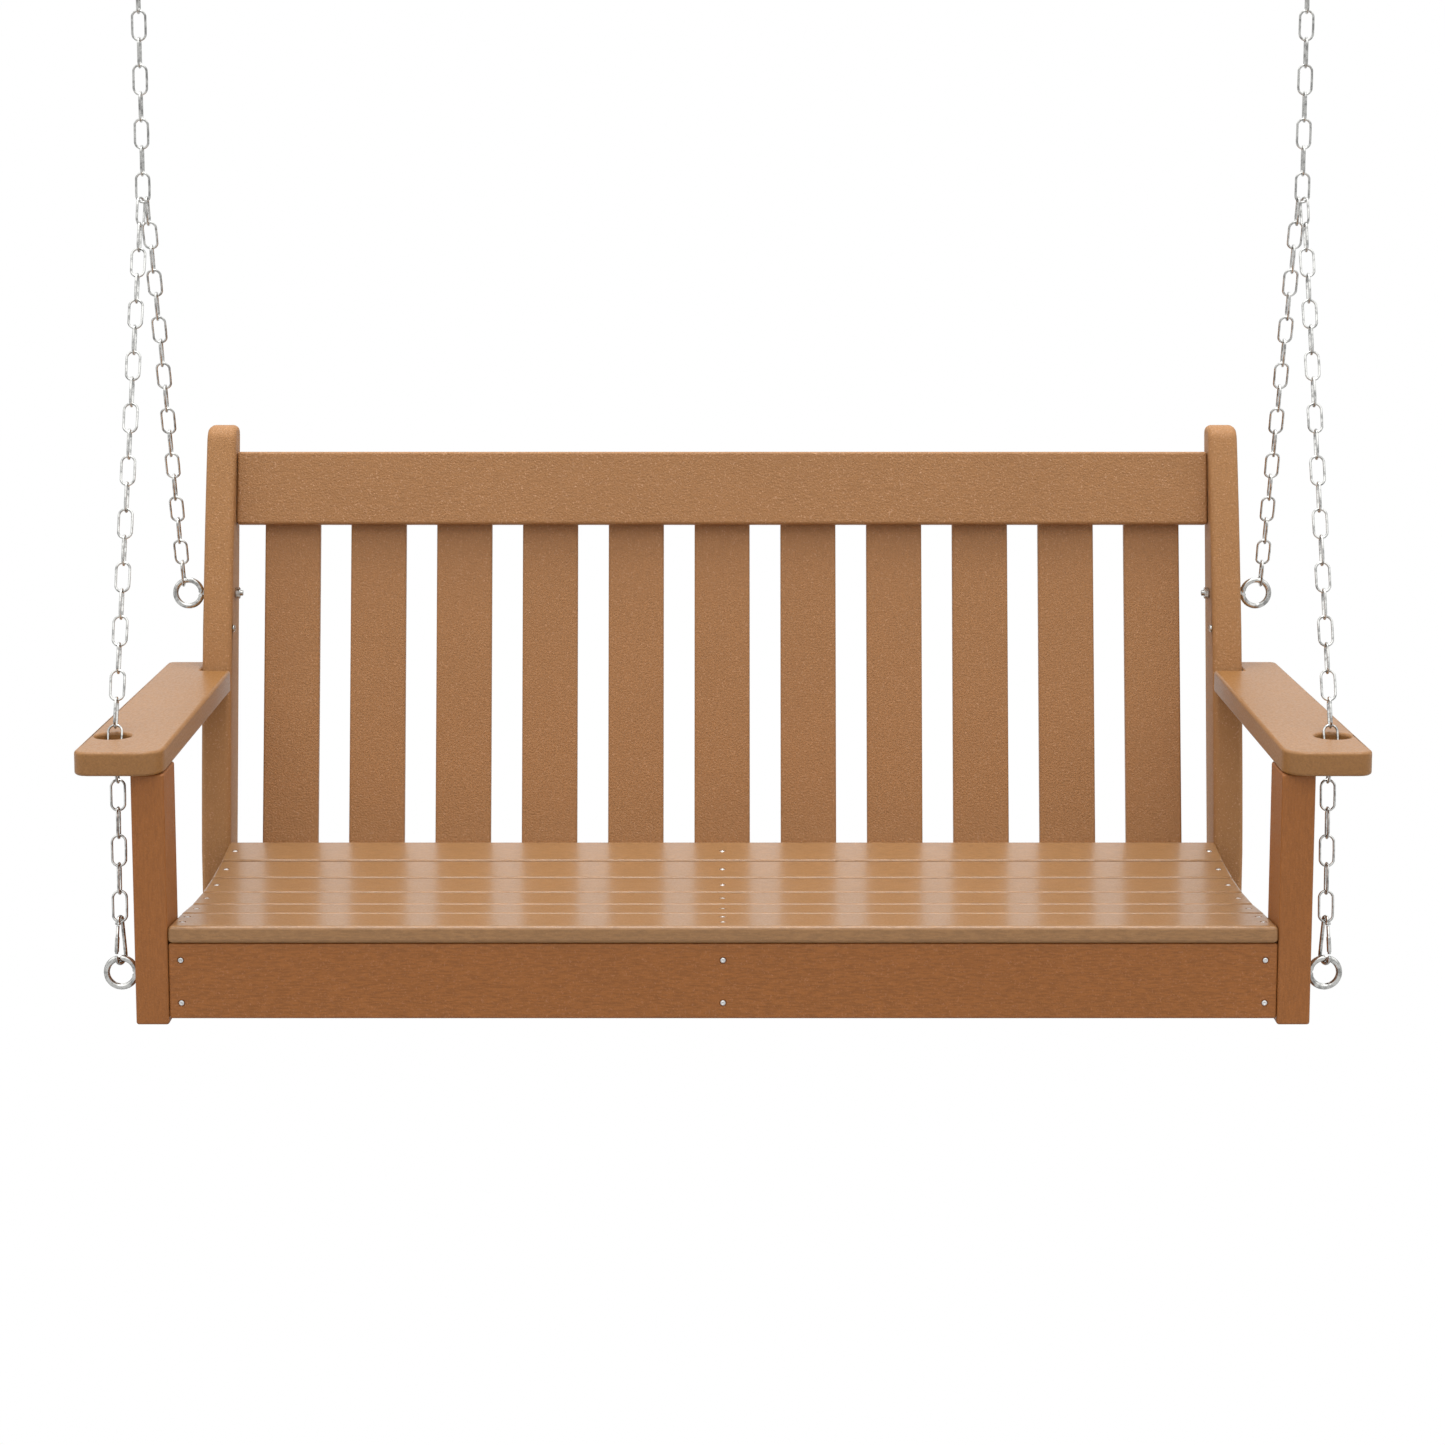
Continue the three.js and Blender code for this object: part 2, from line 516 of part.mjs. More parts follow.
for (const [name, side] of SIDES) {
  const junction = place(side * JUNCTION_X, HANG_DEPTH, JUNCTION_HEIGHT);
  const upperFrom = junction.clone().add(new THREE.Vector3(0, 0, WIRE / 2));
  const upperTo = upperFrom.clone().add(new THREE.Vector3(0, 0, UPPER_LINKS * PITCH));
  add(`upper_chain_${name}`, geometryOf(joined(straightRun(upperFrom, upperTo, UPPER_LINKS, evenTurn))), chainSteel);

  // Front run: junction, through the arm hole, down to the snap hook
  const hang = junctionGap - WIRE / 2 + LOWER_RUN_LIFT;
  const frontFrom = junction.clone().add(new THREE.Vector3(side * FRONT_RUN_OUTBOARD, 0, hang));
  const rim = place(side * (OUTER_X + HOLE_INSET + RIM_OUTBOARD), HOLE_DEPTH + HOLE_RADIUS - RIM_CLEARANCE, ARM_TOP);
  const bendZ = rim.z - ARM_THICK + BEND_HEIGHT;
  const bend = frontFrom.clone().lerp(rim, (frontFrom.z - bendZ) / (frontFrom.z - rim.z));
  const belowBend = bend.clone().sub(new THREE.Vector3(side * BEND_LINK_INWARD, BEND_LINK_FORWARD, BEND_LINK_FALL));
  const hookTop = place(side * RING_X, FRONT_EYE_DEPTH, HOOK_HEIGHT);
  const firstTurned = (i) => (i === 0 ? side * FIRST_LINK_TURN : evenTurn(i));
  const frontRun = [
    ...straightRun(frontFrom, bend, oddLinks(frontFrom, bend), firstTurned),
    ...straightRun(bend, belowBend, 1, oddTurn),
    ...straightRun(belowBend, hookTop, oddLinks(belowBend, hookTop), evenTurn),
  ];
  add(`front_chain_${name}`, geometryOf(joined(frontRun)), chainSteel);

  // Rear run: junction to the rear eyebolt
  const rearFrom = junction.clone().add(new THREE.Vector3(-side * REAR_RUN_INBOARD, 0, hang));
  const ringTop = place(side * (RING_X + REAR_EYE_LEAN), REAR_EYE_DEPTH, REAR_EYE_HEIGHT + RING_MID - REAR_EYE_DROP);
  const pull = ringTop.clone().sub(rearFrom).normalize();
  const rearTo = ringTop.clone().addScaledVector(pull, HOOKED - WIRE / 2);
  add(`rear_chain_${name}`, geometryOf(joined(straightRun(rearFrom, rearTo, oddLinks(rearFrom, rearTo), oddTurn))), chainSteel);

  // Snap hook: pear-shaped, its plane close to the fore-and-aft plane
  const bottom = FRONT_EYE_HEIGHT + RING_MID - RING_WIRE / 2 - HOOK_WIRE / 2 - HOOK_CLEARANCE;
  const top = HOOK_HEIGHT - WIRE / 2 + FACET_RADIUS + HOOK_WIRE / 2 + HOOK_SLACK;
  const hook = hookPieces(top - bottom);
  for (const [part, geometry] of Object.entries(hook)) {
    geometry.rotateZ(radians(90 + side * HOOK_TURN));
    const middle = place(side * RING_X, FRONT_EYE_DEPTH, (top + bottom) / 2);
    geometry.translate(middle.x, middle.y, middle.z);
    add(`${part}_${name}`, geometry, steel);
  }
}

// Snap hook in the XZ plane, centred: a bent-wire body, open on its -X side, and the gate there.
// The wide bow is at the bottom, and the gate turns about its upper end.
function hookPieces(midLength) {
  const half = midLength / 2;
  const wide = (HOOK_WIDTH - HOOK_WIRE) / 2;
  const neck = (HOOK_NECK_WIDTH - HOOK_WIRE) / 2;
  const gateTop = half - neck - GATE_TOP;
  const gateFoot = -half + wide + GATE_FOOT;
  const sideAt = (z) => neck + (wide - neck) * ((half - neck - z) / (2 * half - neck - wide));
  const points = [[-sideAt(gateTop + GATE_SLEEVE), gateTop + GATE_SLEEVE]];
  const bowSteps = 5;
  for (let i = 0; i <= bowSteps; i += 1) {
    const turn = Math.PI - (Math.PI * i) / bowSteps;
    points.push([neck * Math.cos(turn), half - neck + neck * Math.sin(turn)]);
  }
  for (let i = 0; i <= bowSteps; i += 1) {
    const turn = -(Math.PI * i) / bowSteps;
    points.push([wide * Math.cos(turn), -half + wide + wide * Math.sin(turn)]);
  }
  const curve = new THREE.CatmullRomCurve3(points.map(([x, z]) => new THREE.Vector3(x, 0, z)), false, 'centripetal');
  const bodySteps = 22;
  const section = new THREE.Shape();
  section.absarc(0, 0, HOOK_WIRE / 2, 0, 2 * Math.PI, false);
  const body = new THREE.ExtrudeGeometry(section, { extrudePath: curve, steps: bodySteps, curveSegments: 3, bevelEnabled: false });
  body.deleteAttribute('uv');

  const from = new THREE.Vector3(-sideAt(gateTop), 0, gateTop);
  const to = new THREE.Vector3(-sideAt(gateFoot), 0, gateFoot);
  const span = new THREE.Vector3().subVectors(from, to);
  const gate = new THREE.CylinderGeometry(GATE_RADIUS, GATE_RADIUS, span.length(), 8);
  const lean = new THREE.Quaternion().setFromUnitVectors(new THREE.Vector3(0, 1, 0), span.clone().normalize());
  gate.applyQuaternion(lean);
  const centre = from.clone().add(to).multiplyScalar(0.5);
  gate.translate(centre.x, centre.y, centre.z);
  return { snap_hook: body, snap_hook_gate: gate };
}

// ---------------------------------------------------------------- ceiling hangers

function hangerPlate(x) {
  const w = PLATE_WIDTH / 2;
  const l = PLATE_LENGTH / 2;
  const shape = new THREE.Shape();
  shape.moveTo(-w + PLATE_CORNER, -l);
  shape.absarc(w - PLATE_CORNER, -l + PLATE_CORNER, PLATE_CORNER, -Math.PI / 2, 0, false);
  shape.absarc(w - PLATE_CORNER, l - PLATE_CORNER, PLATE_CORNER, 0, Math.PI / 2, false);
  shape.absarc(-w + PLATE_CORNER, l - PLATE_CORNER, PLATE_CORNER, Math.PI / 2, Math.PI, false);
  shape.absarc(-w + PLATE_CORNER, -l + PLATE_CORNER, PLATE_CORNER, Math.PI, 1.5 * Math.PI, false);
  for (const y of [-SCREW_SPACING / 2, SCREW_SPACING / 2]) {
    const hole = new THREE.Path();
    hole.absarc(0, y, SCREW_RADIUS + GAP, 0, 2 * Math.PI, true);
    shape.holes.push(hole);
  }
  const plate = new THREE.ExtrudeGeometry(shape, { depth: PLATE_THICK, bevelEnabled: false, curveSegments: 4 });
  return plate.translate(x, 0, -PLATE_THICK);
}

function hangerEye(x) {
  const ringCentre = place(x, HANG_DEPTH, EYE_WIRE_HEIGHT + RING_MID);
  const stemTop = -PLATE_THICK - GAP;
  const stemBottom = ringCentre.z + RING_MID;
  const stem = new THREE.CylinderGeometry(STEM_RADIUS, STEM_RADIUS, stemTop - stemBottom, 10);
  stem.rotateX(Math.PI / 2).translate(x, 0, (stemTop + stemBottom) / 2);
  return geometryOf(solid(ringSolid(ringCentre)).add(solid(stem)));
}

function hangerScrew(x, y) {
  const length = PLATE_THICK + GAP + BITE;
  const shank = new THREE.CylinderGeometry(SCREW_RADIUS, SCREW_RADIUS, length, 10);
  shank.rotateX(Math.PI / 2).translate(x, y, -length / 2);
  const head = new THREE.CylinderGeometry(SCREW_HEAD_RADIUS, SCREW_HEAD_RADIUS, SCREW_HEAD, 6);
  head.rotateX(Math.PI / 2).translate(x, y, -PLATE_THICK - GAP - SCREW_HEAD / 2);
  return geometryOf(solid(shank).add(solid(head)));
}

for (const [name, side] of SIDES) {
  const x = side * JUNCTION_X;
  add(`hanger_plate_${name}`, hangerPlate(x), steel);
  add(`hanger_eye_${name}`, hangerEye(x), steel);
  add(`hanger_screw_front_${name}`, hangerScrew(x, -SCREW_SPACING / 2), steel);
  add(`hanger_screw_rear_${name}`, hangerScrew(x, SCREW_SPACING / 2), steel);
}

export default group;
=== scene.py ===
"""Hanging porch swing in brown recycled-plastic lumber, on four chains and two ceiling hangers.

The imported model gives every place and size. Boards are re-cut here with rounded edges and
counterbored screws, chains are laid link by link, and each finish is a node material. All
lengths are in metres, +Z up, the front towards -Y. Left and right are as seen from the front.
"""

from __future__ import annotations

import json
import logging
import math
from dataclasses import dataclass, field
from enum import Enum
from typing import Iterable, Sequence

import bmesh
import bpy
from mathutils import Matrix, Vector

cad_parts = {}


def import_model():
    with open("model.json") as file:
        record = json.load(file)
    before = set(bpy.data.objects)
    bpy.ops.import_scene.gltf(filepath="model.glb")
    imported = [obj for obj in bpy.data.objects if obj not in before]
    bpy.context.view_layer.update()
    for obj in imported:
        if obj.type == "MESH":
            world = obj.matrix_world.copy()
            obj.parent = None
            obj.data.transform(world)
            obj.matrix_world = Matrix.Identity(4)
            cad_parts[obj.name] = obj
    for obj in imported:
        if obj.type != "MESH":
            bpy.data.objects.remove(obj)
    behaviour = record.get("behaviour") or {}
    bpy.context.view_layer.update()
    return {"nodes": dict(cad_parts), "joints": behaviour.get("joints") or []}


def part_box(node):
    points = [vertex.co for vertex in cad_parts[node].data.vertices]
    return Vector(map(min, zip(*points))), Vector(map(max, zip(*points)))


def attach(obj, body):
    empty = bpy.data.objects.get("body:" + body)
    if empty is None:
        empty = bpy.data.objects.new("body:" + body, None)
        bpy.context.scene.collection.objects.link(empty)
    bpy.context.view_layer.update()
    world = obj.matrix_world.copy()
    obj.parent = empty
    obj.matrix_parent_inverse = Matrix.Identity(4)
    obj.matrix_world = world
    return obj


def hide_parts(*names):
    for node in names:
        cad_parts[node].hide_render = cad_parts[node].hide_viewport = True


log = logging.getLogger("porch_swing")

MM = 0.001
FULL_TURN = 2 * math.pi
RGB = tuple[float, float, float]


class Body(Enum):
    """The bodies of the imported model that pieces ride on."""

    HANGERS = "hangers"
    UPPER_CHAINS = "upper_chains"
    BENCH = "bench"
    GATE_LEFT = "gate_left"
    GATE_RIGHT = "gate_right"


class Side(Enum):
    """An end of the bench, as seen from the front."""

    LEFT = "left"
    RIGHT = "right"

    @property
    def sign(self) -> float:
        """The sign of this end's X."""
        return -1.0 if self is Side.LEFT else 1.0

    @property
    def gate_body(self) -> Body:
        """The body of this end's snap hook gate."""
        return Body.GATE_LEFT if self is Side.LEFT else Body.GATE_RIGHT

    def outer(self, low: Vector, high: Vector) -> float:
        """The X of a box's face away from the bench's middle."""
        return high.x if self is Side.RIGHT else low.x

    def inner(self, low: Vector, high: Vector) -> float:
        """The X of a box's face towards the bench's middle."""
        return low.x if self is Side.RIGHT else high.x


class Grain(Enum):
    """The direction a board's grain runs, as the stretch of its pattern along X, Y and Z."""

    ALONG_X = (0.18, 1.0, 1.0)
    ALONG_Y = (1.0, 0.12, 1.0)
    ALONG_Z = (1.0, 1.0, 0.15)


# ------------------------------------------------------------------ node trees


class Graph:
    """Adds nodes to a tree and joins them in few words."""

    def __init__(self, tree: bpy.types.NodeTree) -> None:
        """Takes an empty shader or geometry tree to build in."""
        self.tree = tree

    def add(self, kind: str, **settings: object) -> bpy.types.Node:
        """Adds a node.

        Args:
            kind: The node's type name.
            **settings: Properties to set on it.

        Returns:
            The new node.
        """
        node = self.tree.nodes.new(kind)
        for key, value in settings.items():
            setattr(node, key, value)
        return node

    def join(self, source: bpy.types.NodeSocket, target: bpy.types.NodeSocket) -> None:
        """Links an output to an input."""
        self.tree.links.new(source, target)

    def math(self, operation: str, first: object, second: object = None) -> bpy.types.NodeSocket:
        """Adds a Math node.

        Args:
            operation: The Math operation.
            first: A socket or a number.
            second: A socket or a number, if the operation takes two.

        Returns:
            The node's output.
        """
        node = self.add("ShaderNodeMath", operation=operation)
        for slot, value in zip(node.inputs, (first, second)):
            if isinstance(value, bpy.types.NodeSocket):
                self.join(value, slot)
            elif value is not None:
                slot.default_value = value
        return node.outputs[0]

    def ramp(self, value: bpy.types.NodeSocket, start: float, end: float,
             low: float = 0.0, high: float = 1.0) -> bpy.types.NodeSocket:
        """Maps a value smoothly from one range to another.

        Args:
            value: The socket to map.
            start: The value that gives low.
            end: The value that gives high.
            low: The result at start.
            high: The result at end.

        Returns:
            The mapped value.
        """
        node = self.add("ShaderNodeMapRange", interpolation_type="SMOOTHSTEP")
        self.join(value, node.inputs["Value"])
        for name, number in (("From Min", start), ("From Max", end), ("To Min", low), ("To Max", high)):
            node.inputs[name].default_value = number
        return node.outputs["Result"]

    def noise(self, place: bpy.types.NodeSocket, scale: float, detail: float,
              roughness: float = 0.5) -> bpy.types.NodeSocket:
        """Adds a noise pattern.

        Args:
            place: The coordinates to read.
            scale: Features per metre, roughly.
            detail: Octaves.
            roughness: Weight of the finer octaves.

        Returns:
            The noise value, about 0.5 in the middle.
        """
        node = self.add("ShaderNodeTexNoise")
        self.join(place, node.inputs["Vector"])
        node.inputs["Scale"].default_value = scale
        node.inputs["Detail"].default_value = detail
        node.inputs["Roughness"].default_value = roughness
        return node.outputs["Fac"]

    def blend(self, amount: bpy.types.NodeSocket, first: object, second: object,
              kind: str = "MIX") -> bpy.types.NodeSocket:
        """Blends two colours.

        Args:
            amount: How much of the second shows.
            first: A colour or a colour socket.
            second: A colour or a colour socket.
            kind: The blend type.

        Returns:
            The blended colour.
        """
        node = self.add("ShaderNodeMix", data_type="RGBA", blend_type=kind)
        self.join(amount, node.inputs["Factor"])
        colour_inputs = [slot for slot in node.inputs if slot.type == "RGBA"]
        for slot, value in zip(colour_inputs, (first, second)):
            if isinstance(value, bpy.types.NodeSocket):
                self.join(value, slot)
            else:
                slot.default_value = (*value, 1.0)
        return next(slot for slot in node.outputs if slot.type == "RGBA")

    def bump(self, height: bpy.types.NodeSocket, distance: float) -> bpy.types.NodeSocket:
        """Adds a Bump node.

        Args:
            height: The pattern of heights.
            distance: How far a height of 1 stands out.

        Returns:
            The bumped normal.
        """
        node = self.add("ShaderNodeBump")
        node.inputs["Distance"].default_value = distance
        self.join(height, node.inputs["Height"])
        return node.outputs["Normal"]

    def backdrop(self, lit: bpy.types.NodeSocket, seen: bpy.types.NodeSocket) -> bpy.types.NodeSocket:
        """Mixes two shaders, one for light to meet and one for the camera to see.

        Args:
            lit: The shader that light meets.
            seen: The shader that the camera sees.

        Returns:
            The mixed shader.
        """
        node = self.add("ShaderNodeMixShader")
        self.join(self.add("ShaderNodeLightPath").outputs["Is Camera Ray"], node.inputs[0])
        self.join(lit, node.inputs[1])
        self.join(seen, node.inputs[2])
        return node.outputs[0]


def empty_material(name: str) -> tuple[bpy.types.Material, Graph, bpy.types.Node]:
    """Makes a material with only a Principled shader and its output.

    Args:
        name: The material's name.

    Returns:
        The material, its graph and the Principled node.
    """
    material = bpy.data.materials.new(name)
    material.use_nodes = True
    material.node_tree.nodes.clear()
    graph = Graph(material.node_tree)
    shader = graph.add("ShaderNodeBsdfPrincipled")
    output = graph.add("ShaderNodeOutputMaterial")
    graph.join(shader.outputs["BSDF"], output.inputs["Surface"])
    return material, graph, shader


# ------------------------------------------------------------------ finishes


@dataclass(frozen=True)
class LumberFinish:
    """Recycled-plastic lumber: moulded-in brown with streaks along the board, a pebbled skin
    with painted shade in its pits, and pale specks of painted glints."""

    name: str
    body: RGB
    grain: Grain
    recline: float = 0.0  # turn of the pattern about X, to follow a leaning board
    streaks: float = 0.5  # depth of the streaks, 0 to 1
    painted_glints: float = 0.35  # how much the painted glints show, as pale specks
    roughness: tuple[float, float] = (0.42, 0.62)
    pebble: float = 0.12 * MM  # height of the skin's pebbling
    combing: float = 0.06 * MM  # height of the streaks
    sheen_level: float = 0.28  # specular level
    skin: float = 0.06  # weight of the glossy moulded skin
    skin_roughness: float = 0.24

    STREAKS_PER_M = 480.0
    PEBBLES_PER_M = 400.0
    GLINTS_PER_M = 420.0
    CLOUDS_PER_M = 7.0

    def tone(self, factor: float, wash: float = 0.0) -> RGB:
        """The body colour, multiplied by a factor and washed out towards grey."""
        mean = sum(self.body) / 3
        return tuple(factor * (value + wash * (mean - value)) for value in self.body)

    def material(self) -> bpy.types.Material:
        """Builds the material.

        Returns:
            The material, reading Object coordinates.
        """
        material, graph, shader = empty_material(self.name)
        place = graph.add("ShaderNodeTexCoord").outputs["Object"]
        upright = graph.add("ShaderNodeMapping")
        upright.inputs["Rotation"].default_value = (self.recline, 0.0, 0.0)
        graph.join(place, upright.inputs["Vector"])
        drawn = graph.add("ShaderNodeMapping")
        drawn.inputs["Scale"].default_value = self.grain.value
        graph.join(upright.outputs["Vector"], drawn.inputs["Vector"])
        even, along = upright.outputs["Vector"], drawn.outputs["Vector"]

        streak = graph.noise(along, self.STREAKS_PER_M, 5.0, 0.62)
        pebble = graph.noise(even, self.PEBBLES_PER_M, 3.0, 0.55)
        glint_noise = graph.noise(even, self.GLINTS_PER_M, 4.0, 0.7)
        cloud = graph.noise(even, self.CLOUDS_PER_M, 3.0)

        dark, light = self.tone(1 - 0.2 * self.streaks), self.tone(1 + 0.12 * self.streaks)
        colour = graph.blend(graph.ramp(streak, 0.34, 0.66), dark, light)
        colour = graph.blend(graph.ramp(cloud, 0.35, 0.7, 0.0, 0.22), colour, self.tone(0.84))
        # painted glints: pale, washed-out specks of lighter brown
        colour = graph.blend(graph.ramp(glint_noise, 0.56, 0.68, 0.0, self.painted_glints), colour, self.tone(1.75, 0.25))
        # painted shade: darker brown in the low pits of the pebbled bump
        colour = graph.blend(graph.ramp(pebble, 0.46, 0.3, 0.0, 0.22), colour, self.tone(0.62))
        graph.join(colour, shader.inputs["Base Color"])
        graph.join(graph.ramp(pebble, 0.3, 0.7, *self.roughness), shader.inputs["Roughness"])

        combed = graph.math("MULTIPLY", streak, self.combing / MM)
        pebbled = graph.math("MULTIPLY", pebble, self.pebble / MM)
        normal = graph.bump(graph.math("ADD", combed, pebbled), MM)
        graph.join(normal, shader.inputs["Normal"])
        graph.join(normal, shader.inputs["Coat Normal"])
        shader.inputs["Specular IOR Level"].default_value = self.sheen_level
        shader.inputs["Coat Weight"].default_value = self.skin
        shader.inputs["Coat Roughness"].default_value = self.skin_roughness
        return material


@dataclass(frozen=True)
class SteelFinish:
    """Polished stainless steel with a soft drawn texture and darker film where it collects."""

    name: str
    body: RGB
    film: RGB
    roughness: tuple[float, float] = (0.08, 0.22)
    marks: float = 0.02 * MM  # height of the drawn marks

    MARKS_PER_M = 900.0
    CLOUDS_PER_M = 140.0

    def material(self) -> bpy.types.Material:
        """Builds the material.

        Returns:
            The material, reading Object coordinates.
        """
        material, graph, shader = empty_material(self.name)
        place = graph.add("ShaderNodeTexCoord").outputs["Object"]
        mark = graph.noise(place, self.MARKS_PER_M, 4.0, 0.6)
        cloud = graph.noise(place, self.CLOUDS_PER_M, 3.0, 0.6)
        graph.join(graph.blend(graph.ramp(cloud, 0.4, 0.68), self.body, self.film), shader.inputs["Base Color"])
        graph.join(graph.ramp(mark, 0.3, 0.7, *self.roughness), shader.inputs["Roughness"])
        graph.join(graph.bump(mark, self.marks), shader.inputs["Normal"])
        shader.inputs["Metallic"].default_value = 1.0
        return material


RECLINE = math.atan(0.209)  # lean of the back


@dataclass(frozen=True)
class Finishes:
    """Every finish on the swing, made once."""

    post: bpy.types.Material
    upright: bpy.types.Material
    arm: bpy.types.Material
    seat: bpy.types.Material
    apron: bpy.types.Material
    rail: bpy.types.Material
    back: bpy.types.Material
    steel: bpy.types.Material
    chain: bpy.types.Material
    screw: bpy.types.Material

    @classmethod
    def make(cls) -> "Finishes":
        """Builds the materials.

        Returns:
            The set of finishes.
        """
        # one lumber brown in lit and shaded copies: brown is the darker copy for the posts and apron, whose
        # front faces are in shade; the upright, rail and back browns are painted lighter where top light falls
        # on the leaning boards; the seat and arm browns are washed paler with painted sheen
        brown = (0.283, 0.101, 0.024)
        upright_lit_brown = (0.350, 0.168, 0.061)
        arm_sheen_brown = (0.270, 0.126, 0.039)
        seat_sheen_brown = (0.272, 0.138, 0.053)
        rail_lit_brown = (0.340, 0.162, 0.060)
        back_lit_brown = (0.335, 0.156, 0.058)
        bright, film = (0.64, 0.64, 0.62), (0.30, 0.30, 0.29)
        brushed, worn = (0.78, 0.78, 0.77), (0.6, 0.6, 0.6)
        return cls(
            post=LumberFinish("post lumber", brown, Grain.ALONG_Z, streaks=0.5, painted_glints=0.3,
                              roughness=(0.45, 0.6), pebble=0.5 * MM).material(),
            upright=LumberFinish("upright lumber", upright_lit_brown, Grain.ALONG_Z, recline=RECLINE,
                                 streaks=0.3, painted_glints=0.85, roughness=(0.55, 0.7), pebble=1.0 * MM).material(),
            arm=LumberFinish("arm lumber", arm_sheen_brown, Grain.ALONG_Y, streaks=0.6, painted_glints=0.2,
                             roughness=(0.3, 0.45), pebble=0.2 * MM, skin=0.15, skin_roughness=0.2).material(),
            seat=LumberFinish("seat lumber", seat_sheen_brown, Grain.ALONG_X, streaks=0.8, painted_glints=0.2,
                              roughness=(0.3, 0.42), skin=0.38, skin_roughness=0.17).material(),
            apron=LumberFinish("apron lumber", brown, Grain.ALONG_X, streaks=0.9, painted_glints=0.5,
                               pebble=0.4 * MM, combing=0.15 * MM).material(),
            rail=LumberFinish("top rail lumber", rail_lit_brown, Grain.ALONG_X, recline=RECLINE,
                              streaks=0.3, painted_glints=0.95, roughness=(0.4, 0.55), pebble=1.5 * MM).material(),
            back=LumberFinish("back lumber", back_lit_brown, Grain.ALONG_Z, recline=RECLINE,
                              streaks=0.3, painted_glints=0.6, roughness=(0.4, 0.55), pebble=1.1 * MM).material(),
            steel=SteelFinish("polished stainless", bright, film).material(),
            chain=SteelFinish("chain stainless", bright, film).material(),
            screw=SteelFinish("screw stainless", brushed, worn, roughness=(0.25, 0.4)).material(),
        )


# ------------------------------------------------------------------ meshes


def add_object(name: str, mesh: bpy.types.Mesh) -> bpy.types.Object:
    """Puts a mesh in the scene, at the origin.

    Args:
        name: The object's name.
        mesh: Its mesh, with its place in its vertices.

    Returns:
        The object.
    """
    thing = bpy.data.objects.new(name, mesh)
    bpy.context.scene.collection.objects.link(thing)
    return thing


def add_bmesh(name: str, bm: bmesh.types.BMesh, smooth: bool = True) -> bpy.types.Object:
    """Turns an edit mesh into an object.

    Args:
        name: The object's name.
        bm: The edit mesh, freed afterwards.
        smooth: Whether faces are shaded smooth.

    Returns:
        The object.
    """
    mesh = bpy.data.meshes.new(name)
    for face in bm.faces:
        face.smooth = smooth
    bm.to_mesh(mesh)
    bm.free()
    return add_object(name, mesh)


def realise(thing: bpy.types.Object) -> bpy.types.Object:
    """Turns an object's modifiers into plain mesh.

    Args:
        thing: The object, whose modifiers are removed.

    Returns:
        The same object.
    """
    graph = bpy.context.evaluated_depsgraph_get()
    graph.update()
    mesh = bpy.data.meshes.new_from_object(
        thing.evaluated_get(graph), preserve_all_data_layers=True, depsgraph=graph)
    thing.modifiers.clear()
    thing.data = mesh
    return thing


def face_weighted(thing: bpy.types.Object) -> bpy.types.Object:
    """Shades a rounded board so that its flat faces stay flat and only its edges turn.

    Args:
        thing: The board.

    Returns:
        The same object.
    """
    for polygon in thing.data.polygons:
        polygon.use_smooth = True
    weighting = thing.modifiers.new("face weights", "WEIGHTED_NORMAL")
    weighting.keep_sharp = False
    weighting.weight = 100
    return realise(thing)


def circle(count: int) -> list[tuple[float, float]]:
    """The cosine and sine at even steps round a circle."""
    return [(math.cos(FULL_TURN * k / count), math.sin(FULL_TURN * k / count)) for k in range(count)]


def skin(bm: bmesh.types.BMesh, rings: Sequence[list[bmesh.types.BMVert]], closed: bool = False) -> None:
    """Puts faces between rings of vertices, and over the ends where they stay open.

    Args:
        bm: The edit mesh that holds the vertices.
        rings: The rings in order. A ring of one vertex is a pole.
        closed: Whether the last ring joins up with the first.
    """
    pairs = list(zip(rings, rings[1:])) + ([(rings[-1], rings[0])] if closed else [])
    for near, far in pairs:
        for k in range(max(len(near), len(far))):
            corners = (near[k % len(near)], near[(k + 1) % len(near)],
                       far[(k + 1) % len(far)], far[k % len(far)])
            bm.faces.new(list(dict.fromkeys(corners)))
    for ring in () if closed else (rings[0], rings[-1]):
        if len(ring) > 1:
            bm.faces.new(ring)
    bmesh.ops.recalc_face_normals(bm, faces=bm.faces)


def turned(profile: Sequence[tuple[float, float]], segments: int) -> bmesh.types.BMesh:
    """Turns a profile about the X axis, closed at both ends.

    Args:
        profile: Pairs of X and radius, from one end to the other. A radius of 0 is a pole.
        segments: Facets round the axis.

    Returns:
        The closed shape.
    """
    bm = bmesh.new()
    rings = []
    for x, radius in profile:
        around = circle(segments) if radius else [(0.0, 0.0)]
        rings.append([bm.verts.new((x, radius * cosine, radius * sine)) for cosine, sine in around])
    skin(bm, rings)
    return bm


def smooth_path(points: Sequence[Vector], steps: int) -> list[Vector]:
    """Runs a Catmull-Rom curve through points.

    Args:
        points: The points, from one end to the other.
        steps: Stretches between one point and the next.

    Returns:
        The finer points.
    """
    ends = [2 * points[0] - points[1], *points, 2 * points[-1] - points[-2]]
    path = []
    for a, b, c, d in zip(ends, ends[1:], ends[2:], ends[3:]):
        for k in range(steps):
            t = k / steps
            path.append(0.5 * (2 * b + (c - a) * t + (2 * a - 5 * b + 4 * c - d) * t ** 2
                               + (3 * b - a - 3 * c + d) * t ** 3))
    return [*path, points[-1]]


